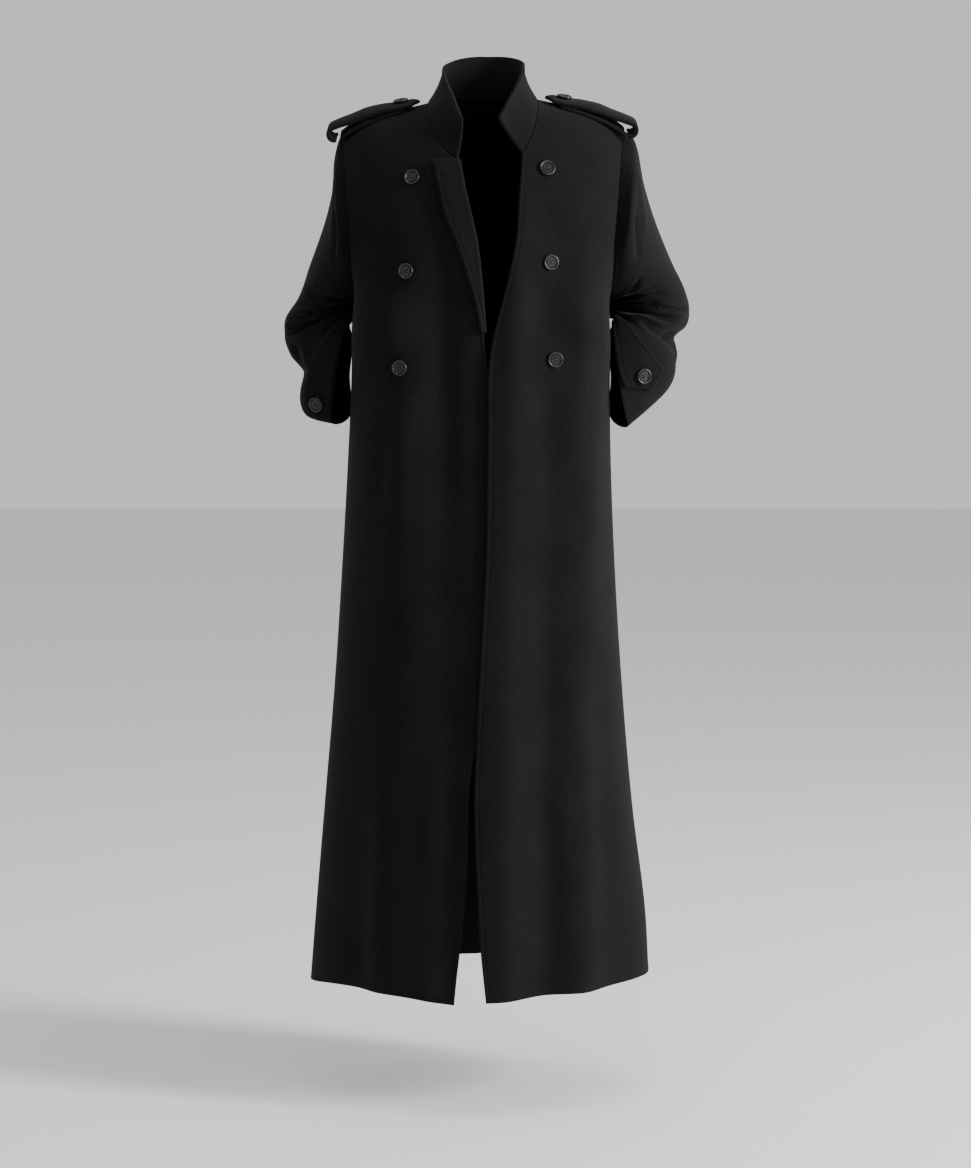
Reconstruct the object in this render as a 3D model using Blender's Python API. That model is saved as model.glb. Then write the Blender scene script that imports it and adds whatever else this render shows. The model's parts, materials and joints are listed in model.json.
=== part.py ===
"""Long double-breasted wool coat, in the shape that it has when worn, its sleeves bent.

Frame, in metres: the origin is the middle of the neck base, level with the points where
the shoulder seams meet the collar. +Z is up, +X is the coat's left, -Y is the front.
"Left" and "right" are the coat's own sides, as it is worn.
"""
import math
from collections import namedtuple

import bmesh
import bpy
import numpy as np
from mathutils import Vector

# Cloth and seams
CLOTH = 0.003                # one layer of heavy melton
DOUBLED = 0.005              # two layers turned and pressed: collar, straps, lapel
SEAM = 0.0003                # gap left between two pieces at a seam
HALF_SEAM = SEAM / 2

# Heights, measured from the neck base
HEM = -1.332
UNDERARM = -0.285
SHOULDER_ROUNDING = -0.200   # where the chest starts to round over to the shoulder
NECK_CENTRE_RISE = 0.030     # how far the shoulder line would rise inside the collar
BACK_NECK_RISE = 0.005       # centre back of the neck seam above the origin
SHOULDER_NECK = 0.083        # half the width between the two shoulder and collar points
SHOULDER_TIP = 0.210         # half the width between the two shoulder tips
RIGHT_SHOULDER_DROP = 0.006  # the right shoulder sits this much lower
DROP_REACH = 0.10            # the drop is full this far from the middle
DROP_FOOT = -0.28            # it starts at this height
DROP_RISE = 0.16             # and is full this much higher

# Body sections: half widths from the front view, depths from the cut of such a coat
Section = namedtuple("Section", "height left_half right_half front back squareness")
SECTIONS = [
    Section(-1.332, 0.2545, 0.2635, 0.205, 0.190, 1.60),
    Section(-1.240, 0.2500, 0.2560, 0.200, 0.186, 1.63),
    Section(-1.060, 0.2280, 0.2405, 0.190, 0.178, 1.72),
    Section(-0.870, 0.2110, 0.2240, 0.180, 0.168, 1.85),
    Section(-0.690, 0.1995, 0.2118, 0.172, 0.160, 2.00),
    Section(-0.510, 0.1925, 0.2013, 0.165, 0.152, 2.20),
    Section(-0.400, 0.1910, 0.1960, 0.160, 0.146, 2.30),
    Section(-0.285, 0.1920, 0.1920, 0.155, 0.138, 2.30),
    Section(-0.250, 0.2025, 0.2025, 0.153, 0.136, 2.30),
    Section(-0.200, 0.2140, 0.2140, 0.150, 0.134, 2.30),
    Section(-0.100, 0.2260, 0.2260, 0.148, 0.132, 2.30),
    Section(0.060, 0.2300, 0.2300, 0.148, 0.132, 2.30),
]

BACK_SQUARENESS = 2.0        # the back's own sections are never flatter than this

# Shoulder line and armhole edge, half widths in the front view
ShoulderPoint = namedtuple("ShoulderPoint", "x height")
SHOULDER_LINE = [
    ShoulderPoint(0.083, 0.000),
    ShoulderPoint(0.120, -0.008),
    ShoulderPoint(0.150, -0.015),
    ShoulderPoint(0.183, -0.027),
    ShoulderPoint(0.210, -0.045),
    ShoulderPoint(0.235, -0.068),
]
ArmholePoint = namedtuple("ArmholePoint", "height x")
ARMHOLE = [
    ArmholePoint(-0.285, 0.192),
    ArmholePoint(-0.220, 0.1955),
    ArmholePoint(-0.155, 0.200),
    ArmholePoint(-0.100, 0.204),
    ArmholePoint(-0.045, 0.210),
]
ARMHOLE_ROWS = (-0.285, -0.281, -0.270, -0.250, -0.225, -0.195, -0.165,
                -0.130, -0.100, -0.075, -0.058, -0.0485, -0.045)

# Front edges: where each front ends, from the hem up to the collar corner
EdgePoint = namedtuple("EdgePoint", "height x")
LEFT_EDGE = [
    EdgePoint(-1.332, 0.005),
    EdgePoint(-1.246, -0.003),
    EdgePoint(-1.171, -0.007),
    EdgePoint(-1.112, -0.010),
    EdgePoint(-1.025, -0.012),
    EdgePoint(-0.967, -0.010),
    EdgePoint(-0.879, -0.006),
    EdgePoint(-0.792, -0.001),
    EdgePoint(-0.675, 0.005),
    EdgePoint(-0.501, 0.008),
    EdgePoint(-0.365, 0.013),
    EdgePoint(-0.284, 0.033),
    EdgePoint(-0.216, 0.048),
    EdgePoint(-0.154, 0.053),
    EdgePoint(-0.084, 0.058),
]
RIGHT_EDGE = [
    EdgePoint(-1.332, -0.044),
    EdgePoint(-1.290, -0.040),
    EdgePoint(-1.231, -0.033),
    EdgePoint(-1.171, -0.027),
    EdgePoint(-1.100, -0.022),
    EdgePoint(-1.018, -0.020),
    EdgePoint(-0.900, -0.002),
    EdgePoint(-0.780, 0.010),
    EdgePoint(-0.600, 0.016),
    EdgePoint(-0.450, 0.014),
    EdgePoint(-0.358, 0.003),
    EdgePoint(-0.283, -0.003),
    EdgePoint(-0.220, -0.010),
    EdgePoint(-0.132, -0.029),
    EdgePoint(-0.094, -0.036),
]
# Neck seam in the front view, from each collar corner up to the shoulder point
LEFT_NECKLINE = [
    EdgePoint(-0.084, 0.058),
    EdgePoint(-0.068, 0.067),
    EdgePoint(-0.045, 0.0765),
    EdgePoint(-0.020, 0.0815),
    EdgePoint(0.000, 0.083),
]
RIGHT_NECKLINE = [
    EdgePoint(-0.094, -0.036),
    EdgePoint(-0.078, -0.054),
    EdgePoint(-0.052, -0.070),
    EdgePoint(-0.025, -0.080),
    EdgePoint(0.000, -0.083),
]
# How far up each neck seam its rows lie, as a share of the seam's height
NECKLINE_SHARES = (0.20, 0.42, 0.64, 0.83, 0.95, 1.00)

# How far the fronts' hem rises above the lowest level, from the front edge to the side seam
HemPoint = namedtuple("HemPoint", "across left right")
HEM_RISE = [
    HemPoint(0.0, 0.008, 0.001),
    HemPoint(0.5, 0.012, 0.012),
    HemPoint(0.9, 0.013, 0.007),
    HemPoint(1.0, 0.012, 0.001),
]

# Soft folds of the hanging cloth: a positive height stands out
Fold = namedtuple("Fold", "x_top x_hem width_top width_hem height start end")
LEFT_FRONT_FOLDS = [
    Fold(0.062, 0.022, 0.030, 0.035, 0.004, -0.060, -1.50),
    Fold(0.105, 0.075, 0.032, 0.040, -0.007, -0.070, -1.50),
    Fold(0.155, 0.165, 0.036, 0.050, 0.006, -0.300, -1.50),
]
RIGHT_FRONT_FOLDS = [
    Fold(-0.060, -0.060, 0.030, 0.040, -0.005, -0.100, -1.50),
    Fold(-0.125, -0.140, 0.034, 0.050, 0.007, -0.250, -1.50),
]
BACK_FOLDS = [
    Fold(-0.120, -0.170, 0.035, 0.050, 0.007, -0.180, -1.50),
    Fold(-0.050, -0.065, 0.035, 0.045, -0.008, -0.220, -1.50),
    Fold(0.030, 0.040, 0.035, 0.050, 0.008, -0.200, -1.50),
    Fold(0.105, 0.150, 0.035, 0.050, -0.007, -0.240, -1.50),
]
# Each front stands out a little over its pocket
POCKET_HEIGHT = -0.345
POCKET_X = 0.165
POCKET_BULGE = 0.014
POCKET_REACH = 0.060
POCKET_SIDEWAYS = 0.9        # share of the bulge that also goes out to the side
# How soon folds grow, and how they fade towards the seams
FOLD_GROWTH = 0.25
SIDE_FADE = 0.55
FRONT_TOP_FADE = 0.05
BACK_TOP_FADE = 0.08
# The left front lies on the right one where they meet
LAP_STEP = 0.0036
LAP_WIDTH = 0.060
LAP_TOP = -0.330
LAP_FOOT = -1.000
LAP_TOP_FADE = 0.06
LAP_FOOT_FADE = 0.15

# Sleeve rings, seen from the front: the outer and inner end of each ring, its half depth, how far
# its front leans outwards, and how far its hind half is drawn in towards the body
Ring = namedtuple("Ring", "along outer_x outer_y outer_z inner_x inner_y inner_z half_depth lean hind_in")
LEFT_RINGS = [
    Ring(0.00, 0.2100, 0.000, -0.045, 0.1920, 0.000, -0.285, 0.080, 0.00, 0.000),
    Ring(0.10, 0.2245, 0.002, -0.056, 0.1990, 0.000, -0.287, 0.083, 0.00, 0.000),
    Ring(0.20, 0.2320, 0.004, -0.075, 0.2032, 0.003, -0.289, 0.085, 0.00, 0.000),
    Ring(0.35, 0.2420, 0.012, -0.125, 0.2058, 0.010, -0.291, 0.084, 0.00, 0.000),
    Ring(0.50, 0.2620, 0.028, -0.185, 0.2060, 0.020, -0.293, 0.080, 0.00, 0.000),
    Ring(0.62, 0.2860, 0.045, -0.240, 0.2015, 0.036, -0.296, 0.077, 0.00, 0.000),
    Ring(0.72, 0.3070, 0.058, -0.283, 0.1972, 0.042, -0.301, 0.074, 0.05, 0.000),
    Ring(0.78, 0.3135, 0.060, -0.310, 0.1965, 0.042, -0.306, 0.072, 0.08, 0.000),
    Ring(0.84, 0.3080, 0.055, -0.338, 0.1970, 0.038, -0.311, 0.068, 0.10, 0.000),
    Ring(0.88, 0.2890, 0.048, -0.358, 0.1992, 0.030, -0.316, 0.065, 0.12, 0.000),
    Ring(0.92, 0.2920, 0.040, -0.390, 0.2035, 0.017, -0.321, 0.060, 0.15, 0.000),
    Ring(0.96, 0.2780, 0.020, -0.437, 0.2030, 0.000, -0.326, 0.052, 0.12, 0.005),
    Ring(0.98, 0.2510, 0.000, -0.464, 0.2000, -0.002, -0.329, 0.047, -0.02, 0.014),
    Ring(1.00, 0.2220, -0.020, -0.489, 0.1975, -0.004, -0.333, 0.042, -0.20, 0.024),
]
RIGHT_RINGS = [
    Ring(0.00, 0.2100, 0.000, -0.051, 0.1920, 0.000, -0.285, 0.080, 0.00, 0.000),
    Ring(0.10, 0.2165, 0.002, -0.066, 0.1990, 0.000, -0.288, 0.083, 0.00, 0.000),
    Ring(0.20, 0.2215, 0.004, -0.090, 0.2030, 0.003, -0.291, 0.085, 0.00, 0.000),
    Ring(0.35, 0.2250, 0.012, -0.135, 0.2052, 0.009, -0.294, 0.084, 0.00, 0.000),
    Ring(0.50, 0.2400, 0.026, -0.190, 0.2062, 0.016, -0.297, 0.080, 0.00, 0.000),
    Ring(0.62, 0.2620, 0.042, -0.248, 0.2030, 0.029, -0.301, 0.077, 0.00, 0.000),
    Ring(0.72, 0.2800, 0.055, -0.296, 0.1995, 0.035, -0.306, 0.074, 0.05, 0.000),
    Ring(0.78, 0.2985, 0.060, -0.325, 0.1987, 0.036, -0.311, 0.072, 0.08, 0.000),
    Ring(0.84, 0.3000, 0.055, -0.352, 0.1990, 0.033, -0.316, 0.068, 0.10, 0.000),
    Ring(0.88, 0.2900, 0.048, -0.382, 0.2010, 0.026, -0.320, 0.064, 0.12, 0.000),
    Ring(0.92, 0.2690, 0.036, -0.412, 0.2048, 0.014, -0.324, 0.058, 0.15, 0.000),
    Ring(0.96, 0.2740, 0.015, -0.448, 0.2080, -0.003, -0.328, 0.050, 0.18, 0.003),
    Ring(0.98, 0.2640, -0.004, -0.474, 0.2040, -0.005, -0.331, 0.046, 0.16, 0.005),
    Ring(1.00, 0.2260, -0.022, -0.484, 0.2020, -0.006, -0.335, 0.042, 0.10, 0.009),
]
SLEEVE_ROWS = (0.0, 0.035, 0.08, 0.14, 0.20, 0.28, 0.36, 0.44, 0.52, 0.59, 0.65, 0.70, 0.735,
               0.765, 0.79, 0.815, 0.84, 0.865, 0.89, 0.92, 0.945, 0.965, 0.983, 1.0)
SLEEVE_COLUMNS = 24          # points round one ring
HIND_SEAM = -2               # column of the seam that runs down the back of the sleeve
FORE_SEAM = 11               # column of the seam under the forearm
SLEEVE_TWIST = math.radians(38)
TWIST_START = 0.25
TWIST_END = 0.80
ARMHOLE_BLEND = 0.22         # how far down the sleeve the armhole's own shape fades out
CREASE_FADE = 30.0           # degrees over which a crease's ends fade

# Creases in the crook of the elbow: a negative height goes in
Crease = namedtuple("Crease", "along start end half_width height")
LEFT_CREASES = [
    Crease(0.715, 55, 175, 0.020, -0.012),
    Crease(0.765, 70, 185, 0.018, -0.013),
    Crease(0.815, 45, 190, 0.022, -0.014),
    Crease(0.885, 20, 120, 0.020, -0.008),
]
RIGHT_CREASES = [
    Crease(0.700, 40, 175, 0.022, -0.010),
    Crease(0.765, 60, 185, 0.020, -0.011),
    Crease(0.820, 30, 190, 0.022, -0.013),
    Crease(0.880, 10, 110, 0.020, -0.008),
]

# Collar: the top edge from the right front corner, round the back, to the left front corner
TopPoint = namedtuple("TopPoint", "share x y z")
COLLAR_TOP = [
    TopPoint(0.00, -0.032, -0.127, -0.034),
    TopPoint(0.08, -0.0395, -0.101, -0.012),
    TopPoint(0.15, -0.0455, -0.079, 0.006),
    TopPoint(0.22, -0.0520, -0.054, 0.022),
    TopPoint(0.30, -0.0590, -0.020, 0.042),
    TopPoint(0.37, -0.0570, 0.014, 0.056),
    TopPoint(0.43, -0.0380, 0.043, 0.064),
    TopPoint(0.50, 0.000, 0.056, 0.067),
    TopPoint(0.57, 0.0400, 0.043, 0.065),
    TopPoint(0.63, 0.0600, 0.014, 0.058),
    TopPoint(0.70, 0.0625, -0.020, 0.046),
    TopPoint(0.78, 0.0560, -0.054, 0.026),
    TopPoint(0.85, 0.0470, -0.079, 0.008),
    TopPoint(0.92, 0.0370, -0.101, -0.010),
    TopPoint(1.00, 0.0250, -0.125, -0.034),
]
COLLAR_RISE_CELLS = 4
COLLAR_SEAM = SEAM * 1.5     # gap between the collar and the neck seam
COLLAR_BOW = 0.004           # how far the stand hollows towards the neck
COLLAR_CENTRE = 0.030        # middle of the neck, this far in front of the origin

# Turned-out top of the right front
LapelPoint = namedtuple("LapelPoint", "height width")
LAPEL = [
    LapelPoint(-0.094, 0.034),
    LapelPoint(-0.166, 0.034),
    LapelPoint(-0.215, 0.026),
    LapelPoint(-0.255, 0.018),
    LapelPoint(-0.320, 0.006),
]
LAPEL_CELLS = 10
LAPEL_ROLL = 0.0045          # how far the roll stands past the front's edge
LAPEL_COLUMNS = 6
LAPEL_SEAT = 0.0006          # clearance of its underside from the front
LAPEL_SPRING = 0.0035        # how far it springs off the front beside the roll
LAPEL_SPRING_SHARE = 0.5     # of its width
LAPEL_ROLL_FOOT = 0.7        # how far out the roll is at its foot, at its crown and how high that crown is
LAPEL_ROLL_CROWN = 0.75
LAPEL_BULGE_LIFT = 0.001

# Buttons
BUTTON_RADIUS = 0.0115
BUTTON_THICKNESS = 0.0038
BUTTON_FOOT_RADIUS = 0.0035
BUTTON_FOOT_HEIGHT = 0.0014
BUTTON_SIDES = 16
BUTTON_BACK_EDGE = 0.0010     # the back's edge is this far in from the radius
BUTTON_RIM_OUTER = 0.0004     # the rim's outer and inner edges, in from the radius
BUTTON_RIM_INNER = 0.0034
BUTTON_DISH = 0.0008          # how far the middle is sunk below the rim
ButtonPlace = namedtuple("ButtonPlace", "name x height")
FRONT_BUTTONS = [
    ButtonPlace("button_left_top", 0.094, -0.108),
    ButtonPlace("button_left_middle", 0.099, -0.244),
    ButtonPlace("button_left_low", 0.103, -0.385),
    ButtonPlace("button_right_top", -0.102, -0.115),
    ButtonPlace("button_right_middle", -0.110, -0.256),
    ButtonPlace("button_right_low", -0.117, -0.397),
]

# Shoulder straps: height above the shoulder line at each distance out
StrapPoint = namedtuple("StrapPoint", "x lift")
STRAP_TOP = [
    StrapPoint(0.104, 0.0112),
    StrapPoint(0.125, 0.0115),
    StrapPoint(0.150, 0.0145),
    StrapPoint(0.172, 0.0165),
    StrapPoint(0.192, 0.0185),
    StrapPoint(0.210, 0.0245),
    StrapPoint(0.224, 0.0310),
]
STRAP_WIDTH = 0.046
STRAP_CENTRE_Y = -0.022
STRAP_UNDER_INNER = 0.116
STRAP_UNDER_OUTER = 0.210
STRAP_END_POINT = 0.012      # how far the pointed end runs past its corners
STRAP_CURL_RADIUS = 0.0112
STRAP_CURL_TURN = math.radians(172)
STRAP_BUTTON_X = 0.121
STRAP_COLUMNS = 5
STRAP_UNDER_ROWS = 10
STRAP_TOP_ROWS = 12
STRAP_CURL_ROWS = 8
STRAP_UNDER_LIFT = 0.0012    # clearance of the under run from the shoulder
STRAP_UNDER_THICKNESS = 0.004
STRAP_UNDER_SHARE = 0.96     # its width, as a share of the upper run's
STRAP_END_TAPER = 0.8
STRAP_BEND_REACH = 0.165     # past here a strap keeps its bend across the shoulder

# Cuff straps, in rows and columns of the sleeve's grid, from the seam to the buttoned end
StrapStation = namedtuple("StrapStation", "upper_row upper_column cuff_row cuff_column")
LEFT_CUFF_STRAP = [
    StrapStation(19.1, 9.3, 22.9, 9.0),
    StrapStation(19.5, 8.2, 22.9, 8.2),
    StrapStation(20.2, 6.7, 22.9, 7.0),
    StrapStation(20.5, 4.9, 22.9, 5.2),
    StrapStation(20.5, 3.4, 22.9, 3.9),
    StrapStation(20.4, 1.8, 22.7, 2.5),
]
RIGHT_CUFF_STRAP = [
    StrapStation(18.7, 9.3, 22.9, 9.0),
    StrapStation(18.7, 7.5, 22.9, 7.6),
    StrapStation(19.2, 5.0, 22.9, 5.8),
    StrapStation(20.1, 3.4, 22.8, 3.8),
    StrapStation(21.3, 2.2, 22.9, 2.2),
    StrapStation(21.9, 0.6, 22.9, 0.6),
]
CUFF_STRAP_CELLS = 14        # cells along a strap
CUFF_STRAP_POINT = 0.020     # how far the pointed end runs past its corners
CUFF_STRAP_LIFT = 0.0016     # strap's underside above the cloth that it lies on
CUFF_BUTTON_BACK = 0.5       # button's centre, this many cells back from the line between the corners
CUFF_STRAP_COLUMNS = 7
CUFF_STRAP_THICKNESS = 0.004

# Panel grids
LOWER_ROWS = 13              # rows from the hem to the underarm
FRONT_COLUMNS = 11
BACK_HALF_COLUMNS = 11
BACK_NECK_CELLS = 4          # of them, this many lie inside the neck seam

COAT_BLACK = (0.012, 0.012, 0.013, 1.0)
BUTTON_BLACK = (0.020, 0.018, 0.017, 1.0)


def clear_scene():
    for item in list(bpy.data.objects):
        bpy.data.objects.remove(item, do_unlink=True)


def make_material(name, colour, roughness):
    material = bpy.data.materials.new(name)
    material.use_nodes = True
    shader = material.node_tree.nodes["Principled BSDF"]
    shader.inputs["Base Color"].default_value = colour
    shader.inputs["Roughness"].default_value = roughness
    shader.inputs["Metallic"].default_value = 0.0
    return material


def smoothstep(value):
    value = np.clip(value, 0.0, 1.0)
    return value * value * (3.0 - 2.0 * value)


def through(rows, at):
    """Read a table's other columns at new keys, on smooth curves through its rows."""
    table = np.array(rows, dtype=float)
    if table[0, 0] > table[-1, 0]:
        table = table[::-1]
    key = table[:, 0]
    values = table[:, 1:]
    at = np.clip(np.asarray(at, dtype=float), key[0], key[-1])
    step = np.diff(key)
    slope = np.diff(values, axis=0) / step[:, None]
    tangent = np.empty_like(values)
    tangent[0] = slope[0]
    tangent[-1] = slope[-1]
    weight = (step[:-1] / (step[:-1] + step[1:]))[:, None]
    tangent[1:-1] = slope[:-1] * (1.0 - weight) + slope[1:] * weight
    turns = slope[:-1] * slope[1:] <= 0.0
    tangent[1:-1][turns] = 0.0
    span = np.clip(np.searchsorted(key, at, side="right") - 1, 0, len(key) - 2)
    width = step[span]
    t = (at - key[span]) / width
    t = t[..., None]
    width = width[..., None]
    start = values[span]
    end = values[span + 1]
    return ((2 * t**3 - 3 * t**2 + 1) * start + (t**3 - 2 * t**2 + t) * width * tangent[span]
            + (3 * t**2 - 2 * t**3) * end + (t**3 - t**2) * width * tangent[span + 1])


def column(rows, at):
    """Read a two-column table at new keys."""
    return through(rows, at)[..., 0]


def shoulder_height(x):
    """Height of the shoulder line, carried on inside the collar."""
    out = np.abs(x)
    over = column(SHOULDER_LINE, out)
    inside = NECK_CENTRE_RISE * (1.0 - np.clip(out / SHOULDER_NECK, 0.0, 1.0))
    return np.where(out < SHOULDER_NECK, inside, over)


def settle(points):
    """Lower the right shoulder a little."""
    points = np.array(points, dtype=float)
    x = points[..., 0]
    z = points[..., 2]
    drop = RIGHT_SHOULDER_DROP * smoothstep(-x / DROP_REACH) * smoothstep((z - DROP_FOOT) / DROP_RISE)
    points[..., 2] = z - drop
    return points


def fold_heights(folds, x, z):
    """Sum of the soft folds at x and height z."""
    total = np.zeros(np.broadcast(x, z).shape)
    for fold in folds:
        down = np.clip((fold.start - z) / (fold.start - HEM), 0.0, 1.0)
        middle = fold.x_top + (fold.x_hem - fold.x_top) * down
        width = fold.width_top + (fold.width_hem - fold.width_top) * down
        grown = smoothstep((fold.start - z) / FOLD_GROWTH)
        total = total + fold.height * grown * np.exp(-((x - middle) / width) ** 2)
    return total


def body_depth(x, z, side, least_squareness=0.0):
    """Depth factors of the coat's outside: front, back and how near x is to the side."""
    section = through(SECTIONS, z)
    half = np.where(side > 0, section[..., 0], section[..., 1])
    squareness = np.maximum(section[..., 4], least_squareness)
    share = np.clip(np.abs(x) / half, 0.0, 1.0)
    across = (1.0 - share ** squareness) ** (1.0 / squareness)
    rise = np.clip((z - SHOULDER_ROUNDING) / (shoulder_height(x) - SHOULDER_ROUNDING), 0.0, 1.0)
    over = np.sqrt(1.0 - rise * rise)
    return section[..., 2] * across * over, section[..., 3] * across * over, across


def side_fade(across):
    """Keep folds and bulges away from the seams, where both pieces share their points."""
    return smoothstep(across / SIDE_FADE)


def front_points(x, z, side):
    """Points of the front's outside at x and height z."""
    x = np.asarray(x, dtype=float)
    z = np.asarray(z, dtype=float)
    depth, _, across = body_depth(x, z, side)
    folds = LEFT_FRONT_FOLDS if side > 0 else RIGHT_FRONT_FOLDS
    lift = fold_heights(folds, x, z)
    near = np.exp(-((np.abs(x) - POCKET_X) / POCKET_REACH) ** 2
                  - ((z - POCKET_HEIGHT) / POCKET_REACH) ** 2)
    bulge = POCKET_BULGE * near
    lap = smoothstep(1.0 - np.abs(x) / LAP_WIDTH)
    lap = lap * smoothstep((LAP_TOP - z) / LAP_TOP_FADE) * smoothstep((z - LAP_FOOT) / LAP_FOOT_FADE)
    rim = side_fade(across) * smoothstep((shoulder_height(x) - z) / FRONT_TOP_FADE)
    y = -(depth + rim * (lift + bulge) + side * LAP_STEP * lap)
    x = x + side * rim * POCKET_SIDEWAYS * bulge
    return settle(np.stack(np.broadcast_arrays(x, y, z), axis=-1))


def back_points(x, z):
    """Points of the back's outside at x and height z."""
    x = np.asarray(x, dtype=float)
    z = np.asarray(z, dtype=float)
    _, depth, across = body_depth(x, z, np.sign(x + 1e-9), BACK_SQUARENESS)
    rim = side_fade(across) * smoothstep((shoulder_height(x) - z) / BACK_TOP_FADE)
    y = depth + rim * fold_heights(BACK_FOLDS, x, z)
    return settle(np.stack(np.broadcast_arrays(x, y, z), axis=-1))


def lower_heights():
    """Row heights from the hem up to, but not with, the underarm."""
    return np.linspace(HEM, UNDERARM, LOWER_ROWS + 1)[:-1]


def side_line(side):
    """X and height of one side seam and armhole edge, row by row."""
    z = np.concatenate([lower_heights(), np.array(ARMHOLE_ROWS)])
    section = through(SECTIONS, z)
    half = section[:, 0] if side > 0 else section[:, 1]
    x = np.where(z < UNDERARM, half, column(ARMHOLE, z))
    return side * x, z


def front_line(edge, neckline):
    """X and height of one front edge and neck seam, row by row."""
    top = edge[-1].height
    upper = np.linspace(UNDERARM, top, 7)[:-1]
    z_edge = np.concatenate([lower_heights(), upper])
    x_edge = column(edge, z_edge)
    z_neck = top + (0.0 - top) * np.concatenate([[0.0], np.array(NECKLINE_SHARES)])
    x_neck = column(neckline, z_neck)
    return np.concatenate([x_edge, x_neck]), np.concatenate([z_edge, z_neck])


def top_weight(rows):
    """0 up to the underarm, then 1 at the shoulder line."""
    row = np.arange(rows)
    return np.clip((row - LOWER_ROWS) / (rows - 1 - LOWER_ROWS), 0.0, 1.0)


def front_grid(side, edge, neckline):
    """Rows from hem to shoulder, columns from the front edge to the side."""
    x_front, z_front = front_line(edge, neckline)
    x_side, z_side = side_line(side)
    turn = np.linspace(0.0, math.pi / 2, FRONT_COLUMNS + 1)
    across = np.sin(turn)[None, :]
    x = x_front[:, None] + (x_side - x_front)[:, None] * across
    z = z_front[:, None] + (z_side - z_front)[:, None] * across
    ridge = shoulder_height(x)
    straight = ridge[:, :1] + (ridge[:, -1:] - ridge[:, :1]) * across
    z = z + top_weight(len(x_front))[:, None] ** 2 * (ridge - straight)
    z[0] += through(HEM_RISE, across[0])[:, 0 if side > 0 else 1]
    return front_points(x, z, side)


def neck_back_height(x):
    """Height of the back neck seam, or of the shoulder line beside it."""
    inside = np.clip(np.abs(x) / SHOULDER_NECK, 0.0, 1.0)
    seam = BACK_NECK_RISE * np.sqrt(1.0 - inside * inside)
    return np.where(np.abs(x) < SHOULDER_NECK, seam, shoulder_height(x))


def back_turns():
    """Angles across half the back, with one at the shoulder and collar point."""
    neck = math.asin(SHOULDER_NECK / SHOULDER_TIP)
    inner = np.linspace(0.0, neck, BACK_NECK_CELLS + 1)
    outer = np.linspace(neck, math.pi / 2, BACK_HALF_COLUMNS + 1 - BACK_NECK_CELLS)
    half = np.concatenate([inner, outer[1:]])
    return np.concatenate([-half[::-1], half[1:]])


def back_grid():
    """Rows from hem to shoulder, columns from the right side to the left."""
    x_left, z_side = side_line(1)
    x_right, _ = side_line(-1)
    across = np.sin(back_turns())[None, :]
    x = np.where(across > 0, x_left[:, None] * across, -x_right[:, None] * across)
    top = neck_back_height(x[-1])
    climb = (z_side - UNDERARM) / (z_side[-1] - UNDERARM)
    climb = np.clip(climb, 0.0, 1.0)[:, None]
    z = z_side[:, None] + climb * (top - z_side[-1])[None, :]
    return back_points(x, z)


def normals_of(grid):
    """Unit normals of a grid of points, from the points round each."""
    along = np.gradient(grid, axis=0)
    across = np.gradient(grid, axis=1)
    normal = np.cross(across, along)
    length = np.linalg.norm(normal, axis=-1, keepdims=True)
    return normal / np.maximum(length, 1e-12)


def unit(vector):
    return vector / np.maximum(np.linalg.norm(vector, axis=-1, keepdims=True), 1e-12)


def draw_in(grid, edges, gap=HALF_SEAM):
    """Move named edges of a grid in by half a seam gap."""
    grid = grid.copy()
    for edge in edges:
        if edge == "foot":
            grid[0] += gap * unit(grid[1] - grid[0])
        elif edge == "head":
            grid[-1] += gap * unit(grid[-2] - grid[-1])
        elif edge == "start":
            grid[:, 0] += gap * unit(grid[:, 1] - grid[:, 0])
        else:
            grid[:, -1] += gap * unit(grid[:, -2] - grid[:, -1])
    return grid


def add_solid(name, vertices, faces, material, smooth_angle=40):
    """Make one closed object, its faces pointing out."""
    mesh = bpy.data.meshes.new(name)
    mesh.from_pydata([tuple(point) for point in vertices], [], faces)
    work = bmesh.new()
    work.from_mesh(mesh)
    bmesh.ops.triangulate(work, faces=work.faces)
    if work.calc_volume(signed=True) < 0.0:
        bmesh.ops.reverse_faces(work, faces=work.faces)
    work.to_mesh(mesh)
    work.free()
    mesh.shade_smooth()
    mesh.set_sharp_from_angle(angle=math.radians(smooth_angle))
    mesh.materials.append(material)
    item = bpy.data.objects.new(name, mesh)
    bpy.context.scene.collection.objects.link(item)
    return item


def grid_faces(rows, columns, offset, flip):
    faces = []
    for i in range(rows - 1):
        for j in range(columns - 1):
            a = offset + i * columns + j
            face = (a, a + 1, a + columns + 1, a + columns)
            faces.append(face[::-1] if flip else face)
    return faces


def add_wall(name, outer, normals, thickness, material):
    """Make a wall of cloth from the grid of its outside and how it is to be thickened."""
    inner = outer - thickness * normals
    return add_shell(name, outer, inner, material)


def add_shell(name, outer, inner, material):
    """Close two matching grids round their rim."""
    rows, columns = outer.shape[:2]
    count = rows * columns
    vertices = np.concatenate([outer.reshape(-1, 3), inner.reshape(-1, 3)])
    faces = grid_faces(rows, columns, 0, False) + grid_faces(rows, columns, count, True)
    rim = [j for j in range(columns)]
    rim += [i * columns + columns - 1 for i in range(1, rows)]
    rim += [(rows - 1) * columns + j for j in range(columns - 2, -1, -1)]
    rim += [i * columns for i in range(rows - 2, 0, -1)]
    for a, b in zip(rim, rim[1:] + rim[:1]):
        faces.append((b, a, count + a, count + b))
    return add_solid(name, vertices, faces, material)


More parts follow.
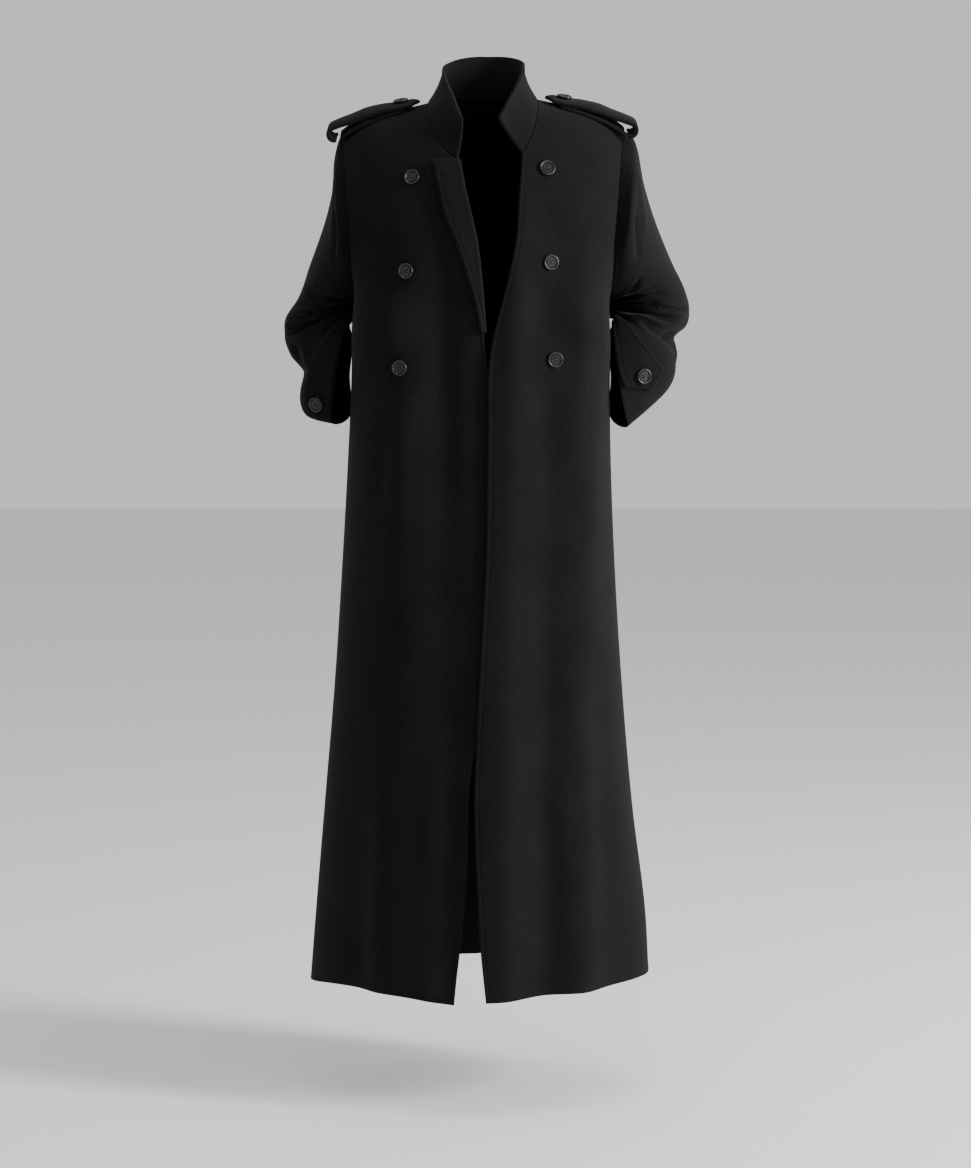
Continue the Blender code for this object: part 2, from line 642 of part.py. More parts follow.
def sleeve_ring_points(rings, along, angle, side):
    """Points of a sleeve's rings at shares along it and angles round it."""
    ring = through(rings, along)
    outer = ring[..., 0:3]
    inner = ring[..., 3:6]
    half_depth = ring[..., 6]
    lean = ring[..., 7]
    middle = (outer + inner) / 2
    half = (outer - inner) / 2
    forward = unit(np.stack([lean, -np.ones_like(lean), np.zeros_like(lean)], axis=-1))
    points = (middle + np.cos(angle)[..., None] * half
              + (half_depth * np.sin(angle))[..., None] * forward)
    points[..., 0] -= ring[..., 8] * np.clip(-np.sin(angle), 0.0, 1.0)
    points[..., 0] *= side
    return points


def crease_heights(creases, along, angle):
    """How far the crook's creases push the sleeve's cloth in or out."""
    degrees = np.degrees(angle) % 360.0
    total = np.zeros_like(along)
    for crease in creases:
        inside = smoothstep((degrees - crease.start) / CREASE_FADE)
        inside = inside * smoothstep((crease.end - degrees) / CREASE_FADE)
        shape = np.exp(-((along - crease.along) / crease.half_width) ** 2)
        total = total + crease.height * inside * shape
    return total


def sleeve_angles(along, columns):
    """Angles of the grid lines, which twist round the sleeve on the way down."""
    twist = SLEEVE_TWIST * smoothstep((along - TWIST_START) / (TWIST_END - TWIST_START))
    return columns * (2 * math.pi / SLEEVE_COLUMNS) + twist


def sleeve_grid(side, rings, creases, armhole):
    """Rows from the armhole to the cuff, columns once round and closed."""
    along = np.array(SLEEVE_ROWS)[:, None]
    columns = np.arange(SLEEVE_COLUMNS + 1)[None, :]
    along, columns = np.broadcast_arrays(along, columns)
    angle = sleeve_angles(along, columns)
    points = sleeve_ring_points(rings, along, angle, side)
    ring = armhole[None, :, :]
    start = sleeve_ring_points(rings, np.zeros_like(along), angle, side)
    keep = 1.0 - smoothstep(along / ARMHOLE_BLEND)
    points = points + keep[..., None] * (ring - start)
    normal = normals_of(np.concatenate([points[:, -2:-1], points, points[:, 1:2]], axis=1))[:, 1:-1]
    outward = points - points[:, :-1].mean(axis=1, keepdims=True)
    if (normal * outward).sum() < 0.0:
        normal = -normal
    points = points + crease_heights(creases, along, angle)[..., None] * normal
    normal = normals_of(np.concatenate([points[:, -2:-1], points, points[:, 1:2]], axis=1))[:, 1:-1]
    if (normal * outward).sum() < 0.0:
        normal = -normal
    return points, normal


def armhole_ring(front, back_column):
    """The armhole once round: shoulder tip, front, underarm, back and the tip again."""
    going_down = front[LOWER_ROWS:, -1][::-1]
    going_up = back_column[LOWER_ROWS:]
    return np.concatenate([going_down, going_up[1:]])


def body_normals(grid, outward_y):
    normal = normals_of(grid)
    if (normal[..., 1] * outward_y).sum() < 0.0:
        normal = -normal
    return normal


def build_body(cloth):
    """Fronts, back, sleeves and collar, which share their points and normals at the seams."""
    left = front_grid(1, LEFT_EDGE, LEFT_NECKLINE)
    right = front_grid(-1, RIGHT_EDGE, RIGHT_NECKLINE)
    back = back_grid()
    for front, column_index in ((left, -1), (right, 0)):
        back[:LOWER_ROWS + 1, column_index] = front[:LOWER_ROWS + 1, -1]
        back[-1, column_index] = front[-1, -1]
    neck_end = back.shape[1] // 2 + BACK_NECK_CELLS
    back[-1, neck_end] = left[-1, 0]
    back[-1, -1 - neck_end] = right[-1, 0]
    left_normal = body_normals(left, -1)
    right_normal = body_normals(right, -1)
    back_normal = body_normals(back, 1)
    sleeves = {}
    for side, rings, creases, front, column_index in (
            (1, LEFT_RINGS, LEFT_CREASES, left, -1), (-1, RIGHT_RINGS, RIGHT_CREASES, right, 0)):
        ring = armhole_ring(front, back[:, column_index])
        sleeves[side] = sleeve_grid(side, rings, creases, ring)
    share_side(left_normal, back_normal, -1)
    share_side(right_normal, back_normal, 0)
    share_shoulder(left, left_normal, back, back_normal, 1)
    share_shoulder(right, right_normal, back, back_normal, -1)
    share_armhole(left_normal, back_normal, -1, sleeves[1][1])
    share_armhole(right_normal, back_normal, 0, sleeves[-1][1])
    build_collar(left, left_normal, right, right_normal, back, back_normal, cloth)
    add_wall("front_left", draw_in(left, ("end", "head")), left_normal, CLOTH, cloth)
    add_wall("front_right", draw_in(right, ("end", "head")), right_normal, CLOTH, cloth)
    add_wall("back", draw_in(back, ("start", "end", "head")), back_normal, CLOTH, cloth)
    for side, name in ((1, "left"), (-1, "right")):
        build_sleeve(name, *sleeves[side], cloth)
    return sleeves


def share_side(front_normal, back_normal, back_column):
    """Side seam, from the hem to the underarm."""
    seam = slice(0, LOWER_ROWS + 1)
    mean = unit(front_normal[seam, -1] + back_normal[seam, back_column])
    front_normal[seam, -1] = mean
    back_normal[seam, back_column] = mean


def share_shoulder(front, front_normal, back, back_normal, side):
    """Shoulder seam: both pieces take the mean of the normals at the nearest points."""
    middle = back.shape[1] // 2
    if side > 0:
        columns = list(range(middle + BACK_NECK_CELLS, back.shape[1]))
    else:
        columns = list(range(middle - BACK_NECK_CELLS, -1, -1))
    back_x = np.abs(back[-1, columns, 0])
    front_x = np.abs(front[-1, :, 0])
    for j in range(front.shape[1]):
        other = np.array([np.interp(front_x[j], back_x, back_normal[-1, columns, k]) for k in range(3)])
        mean = unit(front_normal[-1, j] + other)
        mean[1] = 0.0
        front_normal[-1, j] = unit(mean)
    for k in columns:
        mean = back_normal[-1, k].copy()
        mean[1] = 0.0
        back_normal[-1, k] = unit(mean)


def share_armhole(front_normal, back_normal, back_column, sleeve_normal):
    """Armhole seam: body and sleeve meet on the mean of their normals."""
    last = SLEEVE_COLUMNS // 2
    for k in range(last + 1):
        row = front_normal.shape[0] - 1 - k
        mean = unit(front_normal[row, -1] + sleeve_normal[0, k])
        front_normal[row, -1] = mean
        sleeve_normal[0, k] = mean
    for k in range(last, SLEEVE_COLUMNS + 1):
        row = LOWER_ROWS + k - last
        mean = unit(back_normal[row, back_column] + sleeve_normal[0, k])
        back_normal[row, back_column] = mean
        sleeve_normal[0, k] = mean
    sleeve_normal[0, 0] = front_normal[-1, -1]
    sleeve_normal[0, -1] = front_normal[-1, -1]
    back_normal[-1, back_column] = front_normal[-1, -1]
    back_normal[LOWER_ROWS, back_column] = front_normal[LOWER_ROWS, -1]
    sleeve_normal[0, last] = front_normal[LOWER_ROWS, -1]


def build_sleeve(name, points, normal, cloth):
    """Top sleeve and under sleeve, cut at the two long seams."""
    top = [k % SLEEVE_COLUMNS for k in range(HIND_SEAM, FORE_SEAM + 1)]
    under = [k % SLEEVE_COLUMNS for k in range(FORE_SEAM, SLEEVE_COLUMNS + HIND_SEAM + 1)]
    for piece, columns in (("top_sleeve", top), ("under_sleeve", under)):
        outer = draw_in(points[:, columns], ("foot", "start", "end"))
        add_wall(piece + "_" + name, outer, normal[:, columns], CLOTH, cloth)


def build_collar(left, left_normal, right, right_normal, back, back_normal, cloth):
    """Standing collar, two layers of cloth, open at the front, sewn to the neck seam's points."""
    corner = left.shape[0] - 1 - len(NECKLINE_SHARES)
    middle = back.shape[1] // 2
    neck = slice(middle - BACK_NECK_CELLS + 1, middle + BACK_NECK_CELLS)
    bottom = np.concatenate([right[corner:, 0], back[-1, neck], left[corner:, 0][::-1]])
    length = np.concatenate([[0.0], np.cumsum(np.linalg.norm(np.diff(bottom, axis=0), axis=1))])
    top = settle(through(COLLAR_TOP, length / length[-1]))
    rise = np.linspace(0.0, 1.0, COLLAR_RISE_CELLS + 1)[:, None, None]
    outward = bottom * np.array([1.0, 1.0, 0.0]) + np.array([0.0, COLLAR_CENTRE, 0.0])
    outward = unit(outward)[None]
    grid = bottom[None] + (top - bottom)[None] * rise
    grid = grid - COLLAR_BOW * 4 * (rise * (1 - rise)) * outward
    normal = normals_of(grid)
    if (normal * outward).sum() < 0.0:
        normal = -normal
    panel = np.concatenate([right_normal[corner:, 0], back_normal[-1, neck], left_normal[corner:, 0][::-1]])
    seam = unit(panel + normal[0])
    normal[0] = seam
    right_normal[corner:, 0] = seam[:len(NECKLINE_SHARES) + 1]
    back_normal[-1, neck] = seam[len(NECKLINE_SHARES) + 1:-len(NECKLINE_SHARES) - 1]
    left_normal[corner:, 0] = seam[-len(NECKLINE_SHARES) - 1:][::-1]
    back_normal[-1, neck.start - 1] = seam[len(NECKLINE_SHARES)]
    back_normal[-1, neck.stop] = seam[-len(NECKLINE_SHARES) - 1]
    add_wall("collar", draw_in(grid, ("foot",), COLLAR_SEAM), normal, DOUBLED, cloth)


def surface_normal(point_of, x, z, reach=0.002):
    """Outward normal of a front at x and height z."""
    east = point_of(x + reach, z) - point_of(x - reach, z)
    north = point_of(x, z + reach) - point_of(x, z - reach)
    normal = unit(np.cross(east, north))
    return np.where(normal[..., 1:2] > 0, -normal, normal)


def front_of(side):
    return lambda x, z: front_points(x, z, side)


def build_lapel(cloth):
    """The right front's top, turned out over itself along the roll line."""
    table = [(point.height, point.width) for point in LAPEL]
    heights = np.linspace(LAPEL[0].height, LAPEL[-1].height, LAPEL_CELLS + 1)
    width = column(table, heights)
    edge_x = column(RIGHT_EDGE, heights)
    point_of = front_of(-1)
    shares = np.linspace(0.0, 1.0, LAPEL_COLUMNS)
    outer_rows = []
    inner_rows = []
    for z, w, x0 in zip(heights, width, edge_x):
        x = x0 - w * shares
        z_line = np.full_like(x, z)
        base = point_of(x, z_line)
        normal = surface_normal(point_of, x, z_line)
        lift = LAPEL_SEAT + LAPEL_SPRING * np.sin(np.clip(shares / LAPEL_SPRING_SHARE, 0.0, 1.0) * math.pi)
        under = base + normal * lift[:, None]
        over = under + normal * DOUBLED
        sideways = unit(base[0] - base[1])
        deep = base[0] - normal[0] * CLOTH
        roll_in = deep + sideways * SEAM * 2
        roll_out = deep + sideways * LAPEL_ROLL * LAPEL_ROLL_FOOT
        bulge = base[0] + sideways * LAPEL_ROLL + normal[0] * LAPEL_BULGE_LIFT
        crown = under[0] + (sideways * LAPEL_ROLL + normal[0] * DOUBLED) * LAPEL_ROLL_CROWN
        seat = base[0] + sideways * SEAM * 2 + normal[0] * LAPEL_SEAT
        outer_rows.append(np.concatenate([[roll_out, bulge, crown], over]))
        inner_rows.append(np.concatenate([[roll_in, (roll_in + seat) / 2, seat], under]))
    add_shell("lapel_right", np.array(outer_rows), np.array(inner_rows), cloth)


def on_panel(grid, rows, columns):
    """Read a panel's points or normals between its grid lines."""
    rows, columns = np.broadcast_arrays(rows, columns)
    i = np.clip(np.floor(rows).astype(int), 0, grid.shape[0] - 2)
    j = np.clip(np.floor(columns).astype(int), 0, grid.shape[1] - 2)
    a = (rows - i)[..., None]
    b = (columns - j)[..., None]
    low = grid[i, j] * (1 - b) + grid[i, j + 1] * b
    high = grid[i + 1, j] * (1 - b) + grid[i + 1, j + 1] * b
    return low * (1 - a) + high * a


def shoulder_top(x, y):
    """Height of the coat's shoulder at x and y."""
    ridge = shoulder_height(x)
    section = through(SECTIONS, ridge - 0.05)
    half = section[..., 0]
    squareness = section[..., 4]
    reach = np.minimum(np.abs(x), STRAP_BEND_REACH)
    across = (1.0 - (reach / half) ** squareness) ** (1.0 / squareness)
    depth = np.where(y < 0, section[..., 2], section[..., 3]) * across
    bend = np.sqrt(1.0 - np.clip(y / depth, -0.999, 0.999) ** 2)
    return SHOULDER_ROUNDING + (ridge - SHOULDER_ROUNDING) * bend


def strap_cross(x, z_lift, side, widths):
    """Points across a shoulder strap at each station along it."""
    y = STRAP_CENTRE_Y + STRAP_WIDTH * widths
    x, y = np.broadcast_arrays(x, y)
    z = shoulder_top(x, y) + z_lift
    return np.stack([side * x, y, z], axis=-1)


def strap_end(columns, taper):
    """How far each column of a strap's end stands past its corners."""
    return STRAP_END_POINT * (taper - np.abs(columns) * 2)


def build_shoulder_strap(name, side, cloth, horn):
    """Strap on the shoulder: an under run, and an upper run that curls round its outer end."""
    widths = np.linspace(-0.5, 0.5, STRAP_COLUMNS)[None, :]
    stations = np.linspace(STRAP_UNDER_INNER, STRAP_UNDER_OUTER, STRAP_UNDER_ROWS)[:, None]
    low = strap_cross(stations, STRAP_UNDER_LIFT, side, widths * STRAP_UNDER_SHARE)
    low_top = low + np.array([0.0, 0.0, STRAP_UNDER_THICKNESS])
    add_shell("strap_under_" + name, settle(low_top), settle(low), cloth)

    table = [(point.x, point.lift) for point in STRAP_TOP]
    inner = STRAP_TOP[0].x
    outer = STRAP_TOP[-1].x
    run = np.linspace(inner, outer, STRAP_TOP_ROWS)[:, None]
    lift = column(table, run)
    top = strap_cross(run, lift, side, widths)
    top[0, :, 0] -= side * strap_end(widths[0], STRAP_END_TAPER)
    ends = top[-1]
    direction = unit(top[-1] - top[-2])
    radius = STRAP_CURL_RADIUS
    turn = np.linspace(0.0, STRAP_CURL_TURN, STRAP_CURL_ROWS)[1:]
    sideways = np.array([direction[:, 2], np.zeros(STRAP_COLUMNS), -direction[:, 0]]).T * side
    sideways = np.where(sideways[:, 2:3] > 0, -sideways, sideways)
    curl = [ends + radius * (math.sin(t) * direction + (1 - math.cos(t)) * sideways) for t in turn]
    upper = np.concatenate([top, np.array(curl)])
    normal = normals_of(upper)
    middle = STRAP_COLUMNS // 2
    if normal[0, middle, 2] < 0:
        normal = -normal
    add_shell("strap_over_" + name, settle(upper), settle(upper - DOUBLED * normal), cloth)
    seat = settle(strap_cross(np.array([[STRAP_BUTTON_X]]), column(table, np.array([[STRAP_BUTTON_X]])),
                              side, np.array([[0.0]])))[0, 0]
    near = np.argmin(np.abs(upper[:STRAP_TOP_ROWS, middle, 0] * side - STRAP_BUTTON_X))
    add_button("button_strap_" + name, seat, normal[near, middle], horn)


def build_cuff_strap(name, sleeve, stations, cloth, horn):
    """Buttoned strap round the cuff, made from the sleeve's points, its end pointed."""
    points, normals = sleeve
    table = [(k,) + tuple(station) for k, station in enumerate(stations)]
    read = through(table, np.linspace(0, len(stations) - 1, CUFF_STRAP_CELLS + 1))
    share = np.linspace(0.0, 1.0, CUFF_STRAP_COLUMNS)[None, :]
    rows = read[:, 0:1] * (1 - share) + read[:, 2:3] * share
    columns = read[:, 1:2] * (1 - share) + read[:, 3:4] * share
    base = on_panel(points, rows, columns)
    normal = unit(on_panel(normals, rows, columns))
    ahead = unit((base[-1] - base[-2]).mean(axis=0))
    reach = CUFF_STRAP_POINT * (1.0 - np.abs(share[0] * 2 - 1))
    base = np.concatenate([base, (base[-1] + ahead * reach[:, None])[None]])
    normal = np.concatenate([normal, normal[-1:]])
    under = base + normal * CUFF_STRAP_LIFT
    over = under + normal * CUFF_STRAP_THICKNESS
    add_shell("cuff_strap_" + name, over, under, cloth)
    row = np.array(CUFF_STRAP_CELLS - CUFF_BUTTON_BACK)
    middle = np.array(share.shape[1] // 2)
    add_button("button_cuff_" + name, on_panel(over, row, middle), on_panel(normal, row, middle), horn)


def add_button(name, seat, normal, horn):
    """Turned button with a raised rim, on a short thread foot."""
    profile = [
        (0.0, 0.0),
        (BUTTON_FOOT_RADIUS, 0.0),
        (BUTTON_FOOT_RADIUS, BUTTON_FOOT_HEIGHT),
        (BUTTON_RADIUS - BUTTON_BACK_EDGE, BUTTON_FOOT_HEIGHT),
        (BUTTON_RADIUS - BUTTON_RIM_OUTER, BUTTON_THICKNESS),
        (BUTTON_RADIUS - BUTTON_RIM_INNER, BUTTON_THICKNESS - BUTTON_DISH),
        (0.0, BUTTON_THICKNESS - BUTTON_DISH),
    ]
    vertices = []
    for radius, height in profile[1:-1]:
        for k in range(BUTTON_SIDES):
            angle = 2 * math.pi * k / BUTTON_SIDES
            vertices.append((radius * math.cos(angle), radius * math.sin(angle), height))
    rings = len(profile) - 2
    bottom = len(vertices)
    vertices.append((0.0, 0.0, profile[0][1]))
    top = len(vertices)
    vertices.append((0.0, 0.0, profile[-1][1]))
    faces = []
    for i in range(rings - 1):
        for k in range(BUTTON_SIDES):
            n = (k + 1) % BUTTON_SIDES
            faces.append((i * BUTTON_SIDES + k, i * BUTTON_SIDES + n,
                          (i + 1) * BUTTON_SIDES + n, (i + 1) * BUTTON_SIDES + k))
    for k in range(BUTTON_SIDES):
        n = (k + 1) % BUTTON_SIDES
        faces.append((bottom, n, k))
        faces.append((top, (rings - 1) * BUTTON_SIDES + k, (rings - 1) * BUTTON_SIDES + n))
    item = add_solid(name, vertices, faces, horn, smooth_angle=30)
    item.location = Vector(seat) + Vector(normal) * SEAM * 2
    item.rotation_mode = "QUATERNION"
    item.rotation_quaternion = Vector(normal).to_track_quat("Z", "Y")
    return item


def build_front_buttons(horn):
    for place in FRONT_BUTTONS:
        side = 1 if place.x > 0 else -1
        point_of = front_of(side)
        seat = point_of(place.x, place.height)
        normal = surface_normal(point_of, np.array([place.x]), np.array([place.height]))[0]
        add_button(place.name, seat, normal, horn)


def main():
    clear_scene()
    cloth = make_material("black_melton", COAT_BLACK, 0.95)
    horn = make_material("black_horn", BUTTON_BLACK, 0.35)
    sleeves = build_body(cloth)
    build_lapel(cloth)
    build_front_buttons(horn)
    build_shoulder_strap("left", 1, cloth, horn)
    build_shoulder_strap("right", -1, cloth, horn)
    build_cuff_strap("left", sleeves[1], LEFT_CUFF_STRAP, cloth, horn)
    build_cuff_strap("right", sleeves[-1], RIGHT_CUFF_STRAP, cloth, horn)


main()
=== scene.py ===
"""Looks of the long double-breasted wool coat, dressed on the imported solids.

Frame, in metres: the origin is the middle of the neck base, +Z is up, +X is the coat's left,
-Y is the front. "Left" and "right" are the coat's own sides, as it is worn.
"""
import json
import math
from collections import namedtuple

import bmesh
import bpy
import numpy as np
from mathutils import Matrix, Vector

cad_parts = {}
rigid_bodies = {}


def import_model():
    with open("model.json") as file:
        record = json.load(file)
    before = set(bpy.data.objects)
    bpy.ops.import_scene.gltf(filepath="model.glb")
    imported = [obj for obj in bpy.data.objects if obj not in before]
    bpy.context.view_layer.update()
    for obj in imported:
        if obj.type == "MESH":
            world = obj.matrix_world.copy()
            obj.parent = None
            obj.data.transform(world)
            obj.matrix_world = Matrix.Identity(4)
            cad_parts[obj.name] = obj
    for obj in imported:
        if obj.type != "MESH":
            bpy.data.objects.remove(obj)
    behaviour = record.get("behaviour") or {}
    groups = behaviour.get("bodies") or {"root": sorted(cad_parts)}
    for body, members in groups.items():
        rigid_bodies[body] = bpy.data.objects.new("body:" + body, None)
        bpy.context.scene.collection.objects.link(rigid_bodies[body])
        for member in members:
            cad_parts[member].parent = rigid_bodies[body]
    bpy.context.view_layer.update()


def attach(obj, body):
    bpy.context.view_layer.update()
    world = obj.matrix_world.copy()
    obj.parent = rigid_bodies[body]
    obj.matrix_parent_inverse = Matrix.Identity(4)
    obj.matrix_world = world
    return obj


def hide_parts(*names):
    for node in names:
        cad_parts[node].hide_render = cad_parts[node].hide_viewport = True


# Cloth and seams
CLOTH = 0.003                # one layer of heavy melton
DOUBLED = 0.005              # two layers turned and pressed: collar, straps, lapel
SEAM = 0.0003                # gap left between two pieces at a seam
HALF_SEAM = SEAM / 2

# Heights, measured from the neck base
HEM = -1.332
UNDERARM = -0.285
SHOULDER_ROUNDING = -0.200   # where the chest starts to round over to the shoulder
NECK_CENTRE_RISE = 0.030     # how far the shoulder line would rise inside the collar
BACK_NECK_RISE = 0.005       # centre back of the neck seam above the origin
SHOULDER_NECK = 0.083        # half the width between the two shoulder and collar points
SHOULDER_TIP = 0.210         # half the width between the two shoulder tips
RIGHT_SHOULDER_DROP = 0.006  # the right shoulder sits this much lower
DROP_REACH = 0.10            # the drop is full this far from the middle
DROP_FOOT = -0.28            # it starts at this height
DROP_RISE = 0.16             # and is full this much higher

# Body sections: half widths from the front view, depths from the cut of such a coat
Section = namedtuple("Section", "height left_half right_half front back squareness")
SECTIONS = [Section(*row) for row in (
    (-1.332, 0.2545, 0.2635, 0.205, 0.19, 1.6), (-1.24, 0.25, 0.256, 0.2, 0.186, 1.63),
    (-1.06, 0.228, 0.2405, 0.19, 0.178, 1.72), (-0.87, 0.211, 0.224, 0.18, 0.168, 1.85),
    (-0.69, 0.1995, 0.2118, 0.172, 0.16, 2.0), (-0.51, 0.1925, 0.2013, 0.165, 0.152, 2.2),
    (-0.4, 0.191, 0.196, 0.16, 0.146, 2.3), (-0.285, 0.192, 0.192, 0.155, 0.138, 2.3),
    (-0.25, 0.2025, 0.2025, 0.153, 0.136, 2.3), (-0.2, 0.214, 0.214, 0.15, 0.134, 2.3),
    (-0.1, 0.226, 0.226, 0.148, 0.132, 2.3), (0.06, 0.23, 0.23, 0.148, 0.132, 2.3),
)]

BACK_SQUARENESS = 2.0        # the back's own sections are never flatter than this

# Shoulder line and armhole edge, half widths in the front view
ShoulderPoint = namedtuple("ShoulderPoint", "x height")
SHOULDER_LINE = [ShoulderPoint(*row) for row in (
    (0.083, 0.0), (0.12, -0.008), (0.15, -0.015), (0.183, -0.027), (0.21, -0.045), (0.235, -0.068),
)]
ArmholePoint = namedtuple("ArmholePoint", "height x")
ARMHOLE = [ArmholePoint(*row) for row in (
    (-0.285, 0.192), (-0.22, 0.1955), (-0.155, 0.2), (-0.1, 0.204), (-0.045, 0.21),
)]
ARMHOLE_ROWS = (-0.285, -0.281, -0.270, -0.250, -0.225, -0.195, -0.165,
                -0.130, -0.100, -0.075, -0.058, -0.0485, -0.045)

# Front edges: where each front ends, from the hem up to the collar corner
EdgePoint = namedtuple("EdgePoint", "height x")
LEFT_EDGE = [EdgePoint(*row) for row in (
    (-1.332, 0.005), (-1.246, -0.003), (-1.171, -0.007), (-1.112, -0.01), (-1.025, -0.012),
    (-0.967, -0.01), (-0.879, -0.006), (-0.792, -0.001), (-0.675, 0.005), (-0.501, 0.008),
    (-0.365, 0.013), (-0.284, 0.033), (-0.216, 0.048), (-0.154, 0.053), (-0.084, 0.058),
)]
RIGHT_EDGE = [EdgePoint(*row) for row in (
    (-1.332, -0.044), (-1.29, -0.04), (-1.231, -0.033), (-1.171, -0.027), (-1.1, -0.022), (-1.018, -0.02),
    (-0.9, -0.002), (-0.78, 0.01), (-0.6, 0.016), (-0.45, 0.014), (-0.358, 0.003), (-0.283, -0.003),
    (-0.22, -0.01), (-0.132, -0.029), (-0.094, -0.036),
)]
# Neck seam in the front view, from each collar corner up to the shoulder point
LEFT_NECKLINE = [EdgePoint(*row) for row in (
    (-0.084, 0.058), (-0.068, 0.067), (-0.045, 0.0765), (-0.02, 0.0815), (0.0, 0.083),
)]
RIGHT_NECKLINE = [EdgePoint(*row) for row in (
    (-0.094, -0.036), (-0.078, -0.054), (-0.052, -0.07), (-0.025, -0.08), (0.0, -0.083),
)]
# How far up each neck seam its rows lie, as a share of the seam's height
NECKLINE_SHARES = (0.20, 0.42, 0.64, 0.83, 0.95, 1.00)

# How far the fronts' hem rises above the lowest level, from the front edge to the side seam
HemPoint = namedtuple("HemPoint", "across left right")
HEM_RISE = [HemPoint(*row) for row in (
    (0.0, 0.008, 0.001), (0.5, 0.012, 0.012), (0.9, 0.013, 0.007), (1.0, 0.012, 0.001),
)]

# Soft folds of the hanging cloth: a positive height stands out
Fold = namedtuple("Fold", "x_top x_hem width_top width_hem height start end")
LEFT_FRONT_FOLDS = [Fold(*row) for row in (
    (0.062, 0.022, 0.03, 0.035, 0.004, -0.06, -1.5), (0.105, 0.075, 0.032, 0.04, -0.007, -0.07, -1.5),
    (0.155, 0.165, 0.036, 0.05, 0.006, -0.3, -1.5),
)]
RIGHT_FRONT_FOLDS = [Fold(*row) for row in (
    (-0.06, -0.06, 0.03, 0.04, -0.005, -0.1, -1.5), (-0.125, -0.14, 0.034, 0.05, 0.007, -0.25, -1.5),
)]
BACK_FOLDS = [Fold(*row) for row in (
    (-0.12, -0.17, 0.035, 0.05, 0.007, -0.18, -1.5), (-0.05, -0.065, 0.035, 0.045, -0.008, -0.22, -1.5),
    (0.03, 0.04, 0.035, 0.05, 0.008, -0.2, -1.5), (0.105, 0.15, 0.035, 0.05, -0.007, -0.24, -1.5),
)]
# Each front stands out a little over its pocket
POCKET_HEIGHT = -0.345
POCKET_X = 0.165
POCKET_BULGE = 0.014
POCKET_REACH = 0.060
POCKET_SIDEWAYS = 0.9        # share of the bulge that also goes out to the side
# How soon folds grow, and how they fade towards the seams
FOLD_GROWTH = 0.25
SIDE_FADE = 0.55
FRONT_TOP_FADE = 0.05
BACK_TOP_FADE = 0.08
# The left front lies on the right one where they meet
LAP_STEP = 0.0036
LAP_WIDTH = 0.060
LAP_TOP = -0.330
LAP_FOOT = -1.000
LAP_TOP_FADE = 0.06
LAP_FOOT_FADE = 0.15

# Sleeve rings, seen from the front: the outer and inner end of each ring, its half depth, how far
# its front leans outwards, and how far its hind half is drawn in towards the body
Ring = namedtuple("Ring", "along outer_x outer_y outer_z inner_x inner_y inner_z half_depth lean hind_in")
LEFT_RINGS = [Ring(*row) for row in (
    (0.0, 0.21, 0.0, -0.045, 0.192, 0.0, -0.285, 0.08, 0.0, 0.0),
    (0.1, 0.2245, 0.002, -0.056, 0.199, 0.0, -0.287, 0.083, 0.0, 0.0),
    (0.2, 0.232, 0.004, -0.075, 0.2032, 0.003, -0.289, 0.085, 0.0, 0.0),
    (0.35, 0.242, 0.012, -0.125, 0.2058, 0.01, -0.291, 0.084, 0.0, 0.0),
    (0.5, 0.262, 0.028, -0.185, 0.206, 0.02, -0.293, 0.08, 0.0, 0.0),
    (0.62, 0.286, 0.045, -0.24, 0.2015, 0.036, -0.296, 0.077, 0.0, 0.0),
    (0.72, 0.307, 0.058, -0.283, 0.1972, 0.042, -0.301, 0.074, 0.05, 0.0),
    (0.78, 0.3135, 0.06, -0.31, 0.1965, 0.042, -0.306, 0.072, 0.08, 0.0),
    (0.84, 0.308, 0.055, -0.338, 0.197, 0.038, -0.311, 0.068, 0.1, 0.0),
    (0.88, 0.289, 0.048, -0.358, 0.1992, 0.03, -0.316, 0.065, 0.12, 0.0),
    (0.92, 0.292, 0.04, -0.39, 0.2035, 0.017, -0.321, 0.06, 0.15, 0.0),
    (0.96, 0.278, 0.02, -0.437, 0.203, 0.0, -0.326, 0.052, 0.12, 0.005),
    (0.98, 0.251, 0.0, -0.464, 0.2, -0.002, -0.329, 0.047, -0.02, 0.014),
    (1.0, 0.222, -0.02, -0.489, 0.1975, -0.004, -0.333, 0.042, -0.2, 0.024),
)]
